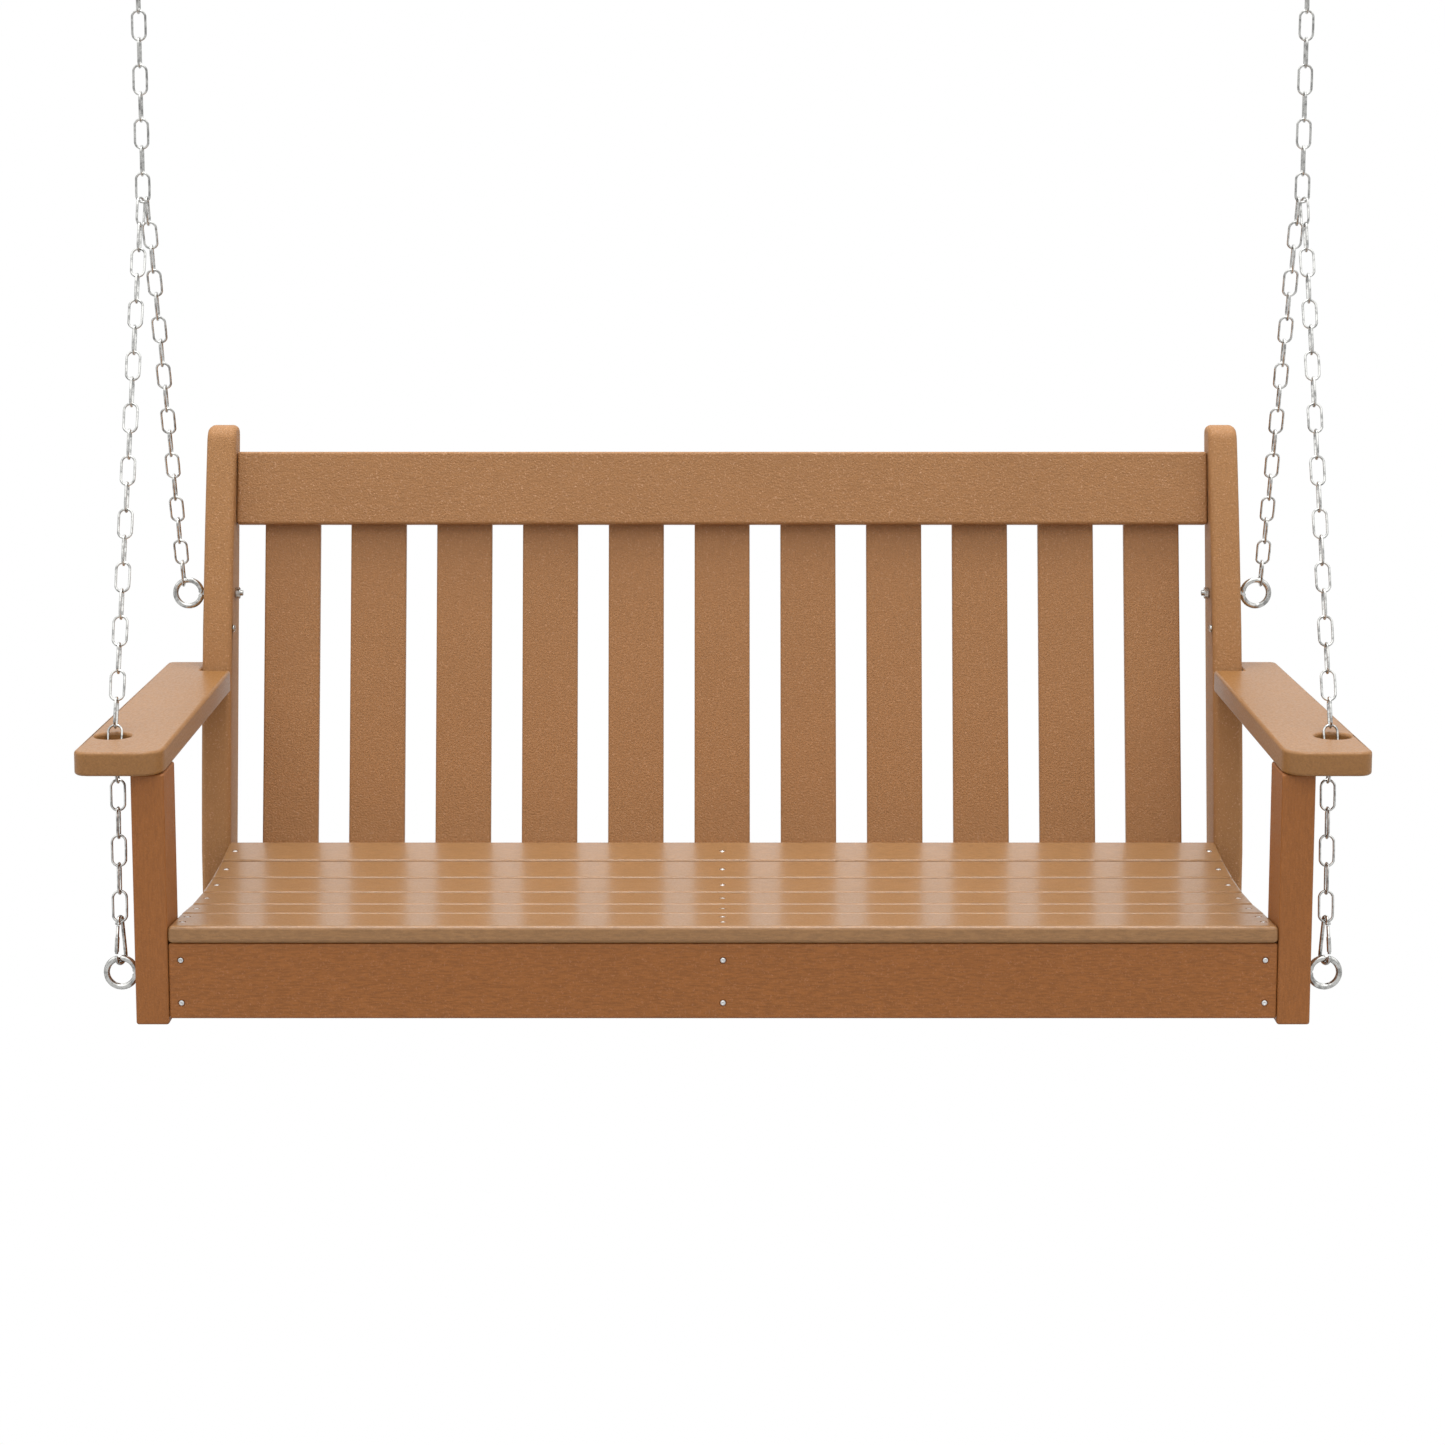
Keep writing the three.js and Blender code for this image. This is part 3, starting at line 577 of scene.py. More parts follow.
def tube(path: Sequence[Vector], radii: Sequence[float], facets: int, across: Vector,
         closed: bool = False) -> bmesh.types.BMesh:
    """Sweeps a round section along a path that lies in one plane.

    Args:
        path: Points along the middle.
        radii: The section's radius at each point.
        facets: Facets round the section.
        across: The plane's normal.
        closed: Whether the path joins up with its start.

    Returns:
        The closed shape.
    """
    bm = bmesh.new()
    last = len(path) - 1
    rings = []
    for k, (point, radius) in enumerate(zip(path, radii)):
        before = path[k - 1] if closed or k else path[0]
        after = path[0 if closed and k == last else min(k + 1, last)]
        side = (after - before).normalized().cross(across).normalized()
        rings.append([bm.verts.new(point + radius * (cosine * side + sine * across))
                      for cosine, sine in circle(facets)])
    skin(bm, rings, closed)
    return bm


def merged(shapes: Iterable[bmesh.types.BMesh]) -> bmesh.types.BMesh:
    """Puts several edit meshes in one.

    Args:
        shapes: The edit meshes, freed afterwards.

    Returns:
        The one that holds them all.
    """
    whole = bmesh.new()
    for shape in shapes:
        carrier = bpy.data.meshes.new("carrier")
        shape.to_mesh(carrier)
        shape.free()
        whole.from_mesh(carrier)
        bpy.data.meshes.remove(carrier)
    return whole


def moved(shape: bmesh.types.BMesh, matrix: Matrix) -> bmesh.types.BMesh:
    """Moves an edit mesh by a matrix without a mirror, and returns it."""
    bmesh.ops.transform(shape, matrix=matrix, verts=shape.verts)
    return shape


def aimed(direction: Vector, place: Vector) -> Matrix:
    """The matrix that takes the X axis to a direction and the origin to a place."""
    return Matrix.Translation(place) @ direction.to_track_quat("X", "Z").to_matrix().to_4x4()


def node_box(node: str) -> tuple[Vector, Vector]:
    """The lowest and the highest corner of a node's box in the frame."""
    low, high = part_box(node)
    return Vector(low), Vector(high)


# ------------------------------------------------------------------ geometry nodes


class PatternTree:
    """A Geometry Nodes tree with named inputs that ends in Realize Instances and Set Material."""

    def __init__(self, name: str, inputs: Sequence[tuple[str, str]]) -> None:
        """Makes the tree and its inputs.

        Args:
            name: The tree's name.
            inputs: Pairs of an input's name and socket type.
        """
        self.tree = bpy.data.node_groups.new(name, "GeometryNodeTree")
        self.graph = Graph(self.tree)
        face = self.tree.interface
        self.keys = {"Geometry": face.new_socket(
            name="Geometry", in_out="INPUT", socket_type="NodeSocketGeometry").identifier}
        for label, kind in (*inputs, ("Finish", "NodeSocketMaterial")):
            self.keys[label] = face.new_socket(name=label, in_out="INPUT", socket_type=kind).identifier
        face.new_socket(name="Geometry", in_out="OUTPUT", socket_type="NodeSocketGeometry")
        self.inputs = self.graph.add("NodeGroupInput").outputs

    def template(self) -> bpy.types.NodeSocket:
        """Reads the geometry of the object given as the input Template.

        Returns:
            The geometry.
        """
        info = self.graph.add("GeometryNodeObjectInfo")
        self.graph.join(self.inputs["Template"], info.inputs["Object"])
        return info.outputs["Geometry"]

    def scatter(self, points: bpy.types.NodeSocket, shape: bpy.types.NodeSocket,
                turn: bpy.types.NodeSocket | None = None) -> None:
        """Ends the tree with a shape on every point, made real and dressed.

        Args:
            points: The points.
            shape: What to put on them.
            turn: Each point's turn, if they have one.
        """
        placed = self.graph.add("GeometryNodeInstanceOnPoints")
        self.graph.join(points, placed.inputs["Points"])
        self.graph.join(shape, placed.inputs["Instance"])
        if turn is not None:
            self.graph.join(turn, placed.inputs["Rotation"])
        real = self.graph.add("GeometryNodeRealizeInstances")
        dress = self.graph.add("GeometryNodeSetMaterial")
        out = self.graph.add("NodeGroupOutput")
        self.graph.join(placed.outputs["Instances"], real.inputs["Geometry"])
        self.graph.join(real.outputs["Geometry"], dress.inputs["Geometry"])
        self.graph.join(self.inputs["Finish"], dress.inputs["Material"])
        self.graph.join(dress.outputs["Geometry"], out.inputs[0])

    def turn_attribute(self) -> bpy.types.NodeSocket:
        """Reads the turn stored on each point.

        Returns:
            The turn as a rotation.
        """
        named = self.graph.add("GeometryNodeInputNamedAttribute", data_type="FLOAT_VECTOR")
        named.inputs["Name"].default_value = "turn"
        as_turn = self.graph.add("FunctionNodeEulerToRotation")
        self.graph.join(named.outputs["Attribute"], as_turn.inputs[0])
        return as_turn.outputs[0]

    def apply(self, thing: bpy.types.Object, **values: object) -> bpy.types.Object:
        """Runs the tree on an object and keeps the result as plain mesh.

        Args:
            thing: The object.
            **values: The inputs' values, an underscore standing for a space.

        Returns:
            The same object.
        """
        modifier = thing.modifiers.new("pattern", "NODES")
        modifier.node_group = self.tree
        for label, value in values.items():
            modifier[self.keys[label.replace("_", " ")]] = value
        return realise(thing)


def point_mesh(name: str, places: Sequence[Matrix]) -> bpy.types.Object:
    """Makes an object of loose points that remember how each is turned.

    Args:
        name: The object's name.
        places: Each point's place and turn.

    Returns:
        The object.
    """
    mesh = bpy.data.meshes.new(name)
    mesh.from_pydata([place.to_translation() for place in places], [], [])
    turns = mesh.attributes.new("turn", "FLOAT_VECTOR", "POINT")
    for value, place in zip(turns.data, places):
        value.vector = place.to_euler("XYZ")
    return add_object(name, mesh)


def link_tree() -> PatternTree:
    """Builds the tree that lays one welded link on each point.

    Returns:
        The tree, with the inputs Half width, Straight half and Wire radius.
    """
    tree = PatternTree("chain links", [
        ("Half width", "NodeSocketFloat"), ("Straight half", "NodeSocketFloat"),
        ("Wire radius", "NodeSocketFloat")])
    graph = tree.graph
    bow = graph.add("GeometryNodeCurvePrimitiveCircle", mode="RADIUS")
    bow.inputs["Resolution"].default_value = 28
    graph.join(tree.inputs["Half width"], bow.inputs["Radius"])
    place = graph.add("ShaderNodeSeparateXYZ")
    graph.join(graph.add("GeometryNodeInputPosition").outputs[0], place.inputs[0])
    offset = graph.add("ShaderNodeCombineXYZ")
    end = graph.math("SIGN", place.outputs["Y"])
    graph.join(graph.math("MULTIPLY", end, tree.inputs["Straight half"]), offset.inputs["Y"])
    stretched = graph.add("GeometryNodeSetPosition")
    graph.join(bow.outputs["Curve"], stretched.inputs["Geometry"])
    graph.join(offset.outputs[0], stretched.inputs["Offset"])
    section = graph.add("GeometryNodeCurvePrimitiveCircle", mode="RADIUS")
    section.inputs["Resolution"].default_value = 12
    graph.join(tree.inputs["Wire radius"], section.inputs["Radius"])
    wire = graph.add("GeometryNodeCurveToMesh")
    graph.join(stretched.outputs["Geometry"], wire.inputs["Curve"])
    graph.join(section.outputs["Curve"], wire.inputs["Profile Curve"])
    smooth = graph.add("GeometryNodeSetShadeSmooth")
    graph.join(wire.outputs["Mesh"], smooth.inputs[0])
    tree.scatter(tree.inputs["Geometry"], smooth.outputs[0], tree.turn_attribute())
    return tree


def scatter_tree() -> PatternTree:
    """Builds the tree that puts a template, such as a screw, on each point.

    Returns:
        The tree, with the input Template.
    """
    tree = PatternTree("screws", [("Template", "NodeSocketObject")])
    tree.scatter(tree.inputs["Geometry"], tree.template(), tree.turn_attribute())
    return tree


def row_tree() -> PatternTree:
    """Builds the tree that repeats a board in a row along X, centred on X = 0.

    Returns:
        The tree, with the inputs Template, Count and Pitch.
    """
    tree = PatternTree("slat row", [
        ("Template", "NodeSocketObject"), ("Count", "NodeSocketInt"), ("Pitch", "NodeSocketFloat")])
    graph = tree.graph
    last = graph.math("SUBTRACT", tree.inputs["Count"], 1.0)
    length = graph.math("MULTIPLY", last, tree.inputs["Pitch"])
    start = graph.add("ShaderNodeCombineXYZ")
    graph.join(graph.math("MULTIPLY", length, -0.5), start.inputs["X"])
    step = graph.add("ShaderNodeCombineXYZ")
    graph.join(tree.inputs["Pitch"], step.inputs["X"])
    row = graph.add("GeometryNodeMeshLine", mode="OFFSET")
    graph.join(tree.inputs["Count"], row.inputs["Count"])
    graph.join(start.outputs[0], row.inputs["Start Location"])
    graph.join(step.outputs[0], row.inputs["Offset"])
    tree.scatter(row.outputs["Mesh"], tree.template())
    return tree


# ------------------------------------------------------------------ shop


@dataclass
class Shop:
    """What every sub-assembly is made with: the frame's nodes, the finishes and the trees."""

    nodes: dict[str, bpy.types.Object]
    joints: dict[str, dict]
    finishes: Finishes
    sharp: float = math.radians(35)  # edges that turn further are rounded
    flat: float = math.radians(0.5)  # faces that turn less are joined
    rim_length: float = 3 * MM  # edges up to this length belong to the rims of holes
    links: PatternTree = field(default_factory=link_tree)
    scatter: PatternTree = field(default_factory=scatter_tree)
    rows: PatternTree = field(default_factory=row_tree)

    def fit(self, piece: bpy.types.Object, finish: bpy.types.Material, body: Body, slot: str,
            *replaced: str) -> bpy.types.Object:
        """Dresses a piece, fixes it to its body and hides the nodes it is shown instead of.

        Args:
            piece: The piece.
            finish: Its material.
            body: The body it rides on.
            slot: The record's material slot; not used.
            *replaced: The nodes it is shown instead of.

        Returns:
            The piece.
        """
        piece.data.materials.clear()
        piece.data.materials.append(finish)
        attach(piece, body.value)
        if replaced:
            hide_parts(*replaced)
        log.info("%s on %s: %d faces", piece.name, body.value, len(piece.data.polygons))
        return piece

    def corners(self, node: str) -> list[Vector]:
        """The separate corners of a node's mesh.

        Args:
            node: The node's name.

        Returns:
            Its corners.
        """
        found: dict[tuple[float, ...], Vector] = {}
        for vertex in self.nodes[node].data.vertices:
            found.setdefault(tuple(round(value, 6) for value in vertex.co), vertex.co.copy())
        return list(found.values())

    def board(self, name: str, node: str, radius: float, rim: float = 0.0,
              bores: Sequence[Matrix] = ()) -> bpy.types.Object:
        """Copies a board from the frame with rounded edges and counterbores.

        Args:
            name: The new piece's name.
            node: The node to copy.
            radius: The radius on its long edges.
            rim: The radius on the rims of its holes.
            bores: Where screws go in, X pointing out of the board.

        Returns:
            The board, shaded.
        """
        bm = bmesh.new()
        bm.from_mesh(self.nodes[node].data)
        bmesh.ops.remove_doubles(bm, verts=bm.verts, dist=0.01 * MM)
        bmesh.ops.dissolve_limit(bm, angle_limit=self.flat, verts=bm.verts, edges=bm.edges)
        self.round_edges(bm, radius, on_rims=False)
        if rim:
            self.round_edges(bm, rim, on_rims=True)
        piece = add_bmesh(name, bm)
        if bores:
            self.counterbore(piece, bores)
        return face_weighted(piece)

    def round_edges(self, bm: bmesh.types.BMesh, radius: float, on_rims: bool) -> None:
        """Rounds a board's sharp edges.

        Args:
            bm: The board's edit mesh.
            radius: The radius.
            on_rims: Whether the rims of its holes are rounded, or its other edges.
        """
        edges = [edge for edge in bm.edges
                 if edge.is_manifold and edge.calc_face_angle(0) > self.sharp
                 and (edge.calc_length() <= self.rim_length) == on_rims]
        if edges:
            bmesh.ops.bevel(bm, geom=edges, offset=radius, offset_type="OFFSET", segments=4, profile=0.5,
                            affect="EDGES", clamp_overlap=False)

    def counterbore(self, piece: bpy.types.Object, bores: Sequence[Matrix]) -> None:
        """Sinks a shallow round pocket for each screw.

        Args:
            piece: The board.
            bores: Where screws go in, X pointing out of the board.
        """
        cutter = add_bmesh("cutter", merged(moved(SCREW.pocket_shape(), place) for place in bores))
        cut = piece.modifiers.new("pockets", "BOOLEAN")
        cut.operation = "DIFFERENCE"
        cut.solver = "EXACT"
        cut.object = cutter
        realise(piece)
        bpy.data.objects.remove(cutter)


@dataclass(frozen=True)
class ScrewSize:
    """A stainless wood screw seen end on, in its pocket."""

    head: float = 3.1 * MM
    side: float = 0.7 * MM  # height of the head below its dome
    crown: float = 0.7 * MM  # height of the dome
    sink: float = 1.3 * MM
    pocket: float = 4.3 * MM
    mouth: float = 0.25 * MM  # depth at which the pocket starts to widen
    proud: float = 0.6 * MM  # how far the pocket's cutter stands out of the board
    recess: float = 1.1 * MM
    recess_depth: float = 0.3 * MM  # below the head's side

    def head_shape(self) -> bmesh.types.BMesh:
        """A domed head with a drive recess, X pointing out.

        Returns:
            The closed shape, seated at the bottom of its pocket.
        """
        seat = -self.sink
        dome = seat + self.side
        floor = dome - self.recess_depth
        profile = [(seat, 0.0), (seat, self.head), (dome, self.head),
                   (dome + 0.35 * self.crown, 0.9 * self.head), (dome + 0.8 * self.crown, 0.62 * self.head),
                   (dome + self.crown, 1.15 * self.recess), (dome + 0.6 * self.crown, self.recess),
                   (floor, 0.85 * self.recess), (floor, 0.0)]
        return turned(profile, 16)

    def pocket_shape(self) -> bmesh.types.BMesh:
        """What is cut away for the head, X pointing out.

        Returns:
            The closed shape.
        """
        profile = [(-self.sink, 0.0), (-self.sink, self.pocket), (-self.mouth, self.pocket),
                   (self.proud, self.pocket + self.proud), (self.proud, 0.0)]
        return turned(profile, 20)


SCREW = ScrewSize()


def screw_places(points: Iterable[Vector], outward: Vector) -> list[Matrix]:
    """Places for screws at points on one flat face, X pointing out along its normal."""
    return [aimed(outward, point) for point in points]


def drive_screws(shop: Shop, name: str, places: Sequence[Matrix]) -> bpy.types.Object:
    """Puts a screw head in every pocket.

    Args:
        shop: The shop.
        name: The piece's name.
        places: Where the screws go, X pointing out.

    Returns:
        The piece.
    """
    template = add_bmesh("screw template", SCREW.head_shape())
    piece = point_mesh(name, places)
    shop.scatter.apply(piece, Template=template, Finish=shop.finishes.screw)
    bpy.data.objects.remove(template)
    for polygon in piece.data.polygons:
        polygon.use_smooth = True
    return shop.fit(piece, shop.finishes.screw, Body.BENCH, "steel")


# ------------------------------------------------------------------ sub-assemblies


@dataclass
class EndFrames:
    """Front posts, back uprights and arms at both ends of the bench."""

    post_edge: float = 3.2 * MM
    upright_edge: float = 7.5 * MM
    arm_edge: float = 4.0 * MM
    hole_rim: float = 1.2 * MM

    def build(self, shop: Shop) -> None:
        """Makes the six boards.

        Args:
            shop: The shop.
        """
        finishes = shop.finishes
        for side in Side:
            end = side.value
            for kind, edge, rim, finish in (
                ("front_post", self.post_edge, 0.0, finishes.post),
                ("back_upright", self.upright_edge, 0.0, finishes.upright),
                ("arm", self.arm_edge, self.hole_rim, finishes.arm),
            ):
                node = f"{kind}_{end}"
                board = shop.board(f"{kind}_{end}_board", node, edge, rim)
                shop.fit(board, finish, Body.BENCH, "lumber", node)


@dataclass
class Seat:
    """Six seat slats, the apron, the rail behind and the three contoured supports."""

    slat_count: int = 6
    slat_edge: float = 3.5 * MM
    nose_edge: float = 5.0 * MM
    apron_edge: float = 3.0 * MM
    screw_columns: tuple[float, ...] = (-0.620, 0.0, 0.620)
    nose_rows: tuple[float, ...] = (0.33, 0.72)  # shares of the first slat's width
    apron_columns: tuple[float, ...] = (-0.6183, 0.0, 0.6183)
    apron_rows: tuple[float, ...] = (0.0185, 0.0685)  # above the apron's lower edge

    def slat_top(self, shop: Shop, node: str) -> tuple[Vector, Vector]:
        """The front and back edges of a slat's upper face, at X = 0.

        Args:
            shop: The shop.
            node: The slat.

        Returns:
            The two points.
        """
        section = sorted((corner for corner in shop.corners(node) if corner.x > 0), key=lambda corner: corner.y)
        front = max(section[:2], key=lambda corner: corner.z)
        back = max(section[2:], key=lambda corner: corner.z)
        return Vector((0, front.y, front.z)), Vector((0, back.y, back.z))

    def build(self, shop: Shop) -> None:
        """Makes the seat.

        Args:
            shop: The shop.
        """
        finishes = shop.finishes
        screws: list[Matrix] = []
        for number in range(1, self.slat_count + 1):
            node = f"seat_slat_{number}"
            front, back = self.slat_top(shop, node)
            rows = self.nose_rows if number == 1 else (0.5,)
            outward = Vector((1, 0, 0)).cross(back - front).normalized()
            bores = screw_places([front.lerp(back, row) + Vector((column, 0, 0))
                                  for row in rows for column in self.screw_columns], outward)
            edge = self.nose_edge if number == 1 else self.slat_edge
            board = shop.board(f"{node}_board", node, edge, bores=bores)
            shop.fit(board, finishes.seat, Body.BENCH, "lumber", node)
            screws += bores
        low, _ = node_box("front_apron")
        apron_bores = screw_places([Vector((column, low.y, low.z + row)) for row in self.apron_rows
                                    for column in self.apron_columns], Vector((0, -1, 0)))
        board = shop.board("front_apron_board", "front_apron", self.apron_edge, bores=apron_bores)
        shop.fit(board, finishes.apron, Body.BENCH, "lumber", "front_apron")
        rail = shop.board("seat_rail_board", "seat_rail", self.apron_edge)
        shop.fit(rail, finishes.rail, Body.BENCH, "lumber", "seat_rail")
        for place in ("left", "middle", "right"):
            shop.nodes[f"seat_support_{place}"].data.materials.clear()
            shop.nodes[f"seat_support_{place}"].data.materials.append(finishes.post)
        drive_screws(shop, "seat_screws", screws + apron_bores)


@dataclass
class Back:
    """The row of back slats under the top rail."""

    count: int = 11
    edge: float = 3.0 * MM
    rail_edge: float = 4.0 * MM
    screw_inset: float = 16 * MM  # from a slat's side
    top_screws: float = 45 * MM  # from a slat's upper end
    bottom_screws: float = 26 * MM  # from a slat's lower end

    def build(self, shop: Shop) -> None:
        """Makes the back.

        Args:
            shop: The shop.
        """
        rail = shop.board("top_rail_board", "top_rail", self.rail_edge)
        shop.fit(rail, shop.finishes.rail, Body.BENCH, "lumber", "top_rail")

        middle = f"back_slat_{(self.count + 1) // 2}"
        section = sorted(shop.corners(middle), key=lambda corner: corner.z)
        foot = max(section[:4], key=lambda corner: corner.y)
        head = max(section[4:], key=lambda corner: corner.y)
        up = head - foot
        up.x = 0
        length = up.length
        up.normalize()
        outward = up.cross(Vector((-1, 0, 0))).normalized()
        half = abs(foot.x) - self.screw_inset
        start = Vector((0, foot.y, foot.z))
        bores = screw_places([start + along * up + Vector((column, 0, 0))
                              for along in (self.bottom_screws, length - self.top_screws)
                              for column in (-half, half)], outward)
        template = shop.board("back slat template", middle, self.edge, bores=bores)
        pitch = node_box("back_slat_2")[0].x - node_box("back_slat_1")[0].x
        row = add_object("back_slats_row", bpy.data.meshes.new("back_slats_row"))
        shop.rows.apply(row, Template=template, Count=self.count, Pitch=pitch, Finish=shop.finishes.back)
        bpy.data.objects.remove(template)
        shop.fit(face_weighted(row), shop.finishes.back, Body.BENCH, "back_lumber",
                 *(f"back_slat_{number}" for number in range(1, self.count + 1)))
        drive_screws(shop, "back_screws", [
            Matrix.Translation(((number - (self.count - 1) / 2) * pitch, 0, 0)) @ bore
            for number in range(self.count) for bore in bores])


@dataclass
class Ring:
    """A forged eye of round bar whose ring stands in the XZ plane."""

    outer: float = 41 * MM
    wire: float = 7.2 * MM
    seam: float = 0.5 * MM  # how far the bar is pinched where it closes
    weld: float = 0.45 * MM  # how far the closing weld stands proud
    steps: int = 64
    weld_steps: int = 2  # length of the weld on each side of the seam

    @property
    def middle(self) -> float:
        """Radius of the bar's centre line."""
        return (self.outer - self.wire) / 2

    def centre(self, row: str, side: Side) -> Vector:
        """The centre of an eyebolt's ring.

        Args:
            row: front or rear.
            side: The eyebolt's end of the bench.

        Returns:
            The centre.
        """
        low, high = node_box(f"{row}_eyebolt_{side.value}")
        x = side.outer(low, high) - side.sign * self.outer / 2
        return Vector((x, (low.y + high.y) / 2, (low.z + high.z) / 2))

    def shape(self, centre: Vector, joint: float) -> bmesh.types.BMesh:
        """The ring, with the seam where its bar closes on the shank.

        Args:
            centre: The ring's centre.
            joint: The seam's angle about -Y, in radians.

        Returns:
            The closed shape.
        """
        path, radii = [], []
        for k in range(self.steps):
            angle = joint + FULL_TURN * k / self.steps
            path.append(centre + self.middle * Vector((math.cos(angle), 0, math.sin(angle))))
            from_seam = min(k, self.steps - 1 - k)
            swell = self.weld if from_seam <= self.weld_steps else 0.0
            radii.append(self.wire / 2 + (swell if from_seam else -self.seam))
        return tube(path, radii, 20, Vector((0, -1, 0)), closed=True)


@dataclass
class Eyebolts:
    """Four eyebolts with their nuts, and the small bolts in the uprights."""

    ring: Ring = field(default_factory=Ring)
    shank: float = 3.9 * MM
    collar: float = 5.4 * MM
    collar_length: float = 3.6 * MM
    collar_chamfer: float = 0.6 * MM
    collar_round: float = 0.4 * MM  # where the collar meets the ring
    throat: float = 0.5332  # the stem's end inside the ring, as a share of the collar
    thread_length: float = 14 * MM
    thread_pitch: float = 1.25 * MM
    thread_depth: float = 0.5 * MM
    thread_lead: float = 1.2  # how much deeper the first turn is cut
    nut_flats: float = 13 * MM
    nut_chamfer: float = 0.8 * MM
    nut_facets: int = 24
    nut_play: float = 0.1 * MM  # between nut and shank
    # the small bolt's head: millimetres from its face and share of its radius
    dome: tuple[tuple[float, float], ...] = (
        (0.3, 0.0), (0.3, 0.3), (0.0, 0.34), (0.15, 0.6), (0.9, 0.88), (1.8, 1.0), (2.9, 1.0))
    dome_height: float = 3.0 * MM
    dome_stem: float = 2.5 * MM

    def build(self, shop: Shop) -> None:
        """Makes the bolts and nuts.

        Args:
            shop: The shop.
        """
        for side in Side:
            for row in ("front", "rear"):
                self.eyebolt(shop, side, row)
                self.nut(shop, side, row)
            self.upright_bolt(shop, side)

    def eyebolt(self, shop: Shop, side: Side, row: str) -> None:
        """Makes one eyebolt.

        Args:
            shop: The shop.
            side: Its end of the bench.
            row: front or rear.
        """
        node = f"{row}_eyebolt_{side.value}"
        centre = self.ring.centre(row, side)
        tip = Vector((side.inner(*node_box(node)), centre.y, centre.z))
        length = abs(centre.x - side.sign * self.ring.middle - tip.x)
        thread = []
        turns = int(self.thread_length / self.thread_pitch)
        for k in range(turns):
            x = k * self.thread_pitch
            thread += [(x, self.shank - self.thread_depth), (x + 0.5 * self.thread_pitch, self.shank)]
        thread[0] = (0.0, self.shank - self.thread_lead * self.thread_depth)
        plain = (turns + 0.5) * self.thread_pitch
        face = length - self.ring.wire / 2
        profile = [(0.0, 0.0), *thread, (plain, self.shank), (face - self.collar_length, self.shank),
                   (face - self.collar_length + self.collar_chamfer, self.collar),
                   (face - self.collar_round, self.collar),
                   (length - self.collar_round, self.throat * self.collar), (length, 0.0)]
        stem = moved(turned(profile, 24), aimed(Vector((side.sign, 0, 0)), tip))
        joint = math.pi if side is Side.RIGHT else 0.0
        piece = add_bmesh(f"{row}_eyebolt_{side.value}_forged", merged([self.ring.shape(centre, joint), stem]))
        shop.fit(piece, shop.finishes.steel, Body.BENCH, "steel", node)

    def nut(self, shop: Shop, side: Side, row: str) -> None:
        """Makes one chamfered hexagon nut.

        Args:
            shop: The shop.
            side: Its end of the bench.
            row: front or rear.
        """
        node = f"{row}_eyebolt_nut_{side.value}"
        low, high = node_box(node)
        middle = (low + high) / 2
        half = (high.x - low.x) / 2
        bore = self.shank + self.nut_play
        corner = self.nut_flats / math.sqrt(3)
        sixth = FULL_TURN / 6
        bm = bmesh.new()
        rings = []
        for x, reach in ((-half, bore), (-half, corner - self.nut_chamfer), (-half + self.nut_chamfer, corner),
                         (half - self.nut_chamfer, corner), (half, corner - self.nut_chamfer), (half, bore)):
            ring = []
            for k, (cosine, sine) in enumerate(circle(self.nut_facets)):
                from_flat = (FULL_TURN * k / self.nut_facets + sixth / 2) % sixth - sixth / 2
                radius = min(reach, self.nut_flats / 2 / math.cos(from_flat))
                ring.append(bm.verts.new((x, radius * cosine, radius * sine)))
            rings.append(ring)
        skin(bm, rings, closed=True)
        piece = add_bmesh(f"{node}_hex", moved(bm, Matrix.Translation(middle)), smooth=False)
        shop.fit(piece, shop.finishes.steel, Body.BENCH, "steel", node)

    def upright_bolt(self, shop: Shop, side: Side) -> None:
        """Makes the small domed bolt below a rear eyebolt.

        Args:
            shop: The shop.
            side: Its end of the bench.
        """
        node = f"upright_bolt_{side.value}"
        low, high = node_box(node)
        radius = (high.z - low.z) / 2
        place = Vector((side.inner(low, high), (low.y + high.y) / 2, (low.z + high.z) / 2))
        length = high.x - low.x
        profile = [*((x * MM, share * radius) for x, share in self.dome),
                   (self.dome_height, self.dome_stem), (length, self.dome_stem), (length, 0.0)]
        bolt = moved(turned(profile, 20), aimed(Vector((side.sign, 0, 0)), place))
        piece = add_bmesh(f"upright_bolt_{side.value}_domed", bolt)
        shop.fit(piece, shop.finishes.steel, Body.BENCH, "steel", node)


def alternate(count: int, first: float) -> list[float]:
    """Turns for a run of links, in degrees from facing the front.

    Args:
        count: How many links.
        first: The first link's turn, 0 or 90. The next is square to it, and so on.

    Returns:
        One turn for each link.
    """
    return [first if k % 2 == 0 else 90.0 - first for k in range(count)]


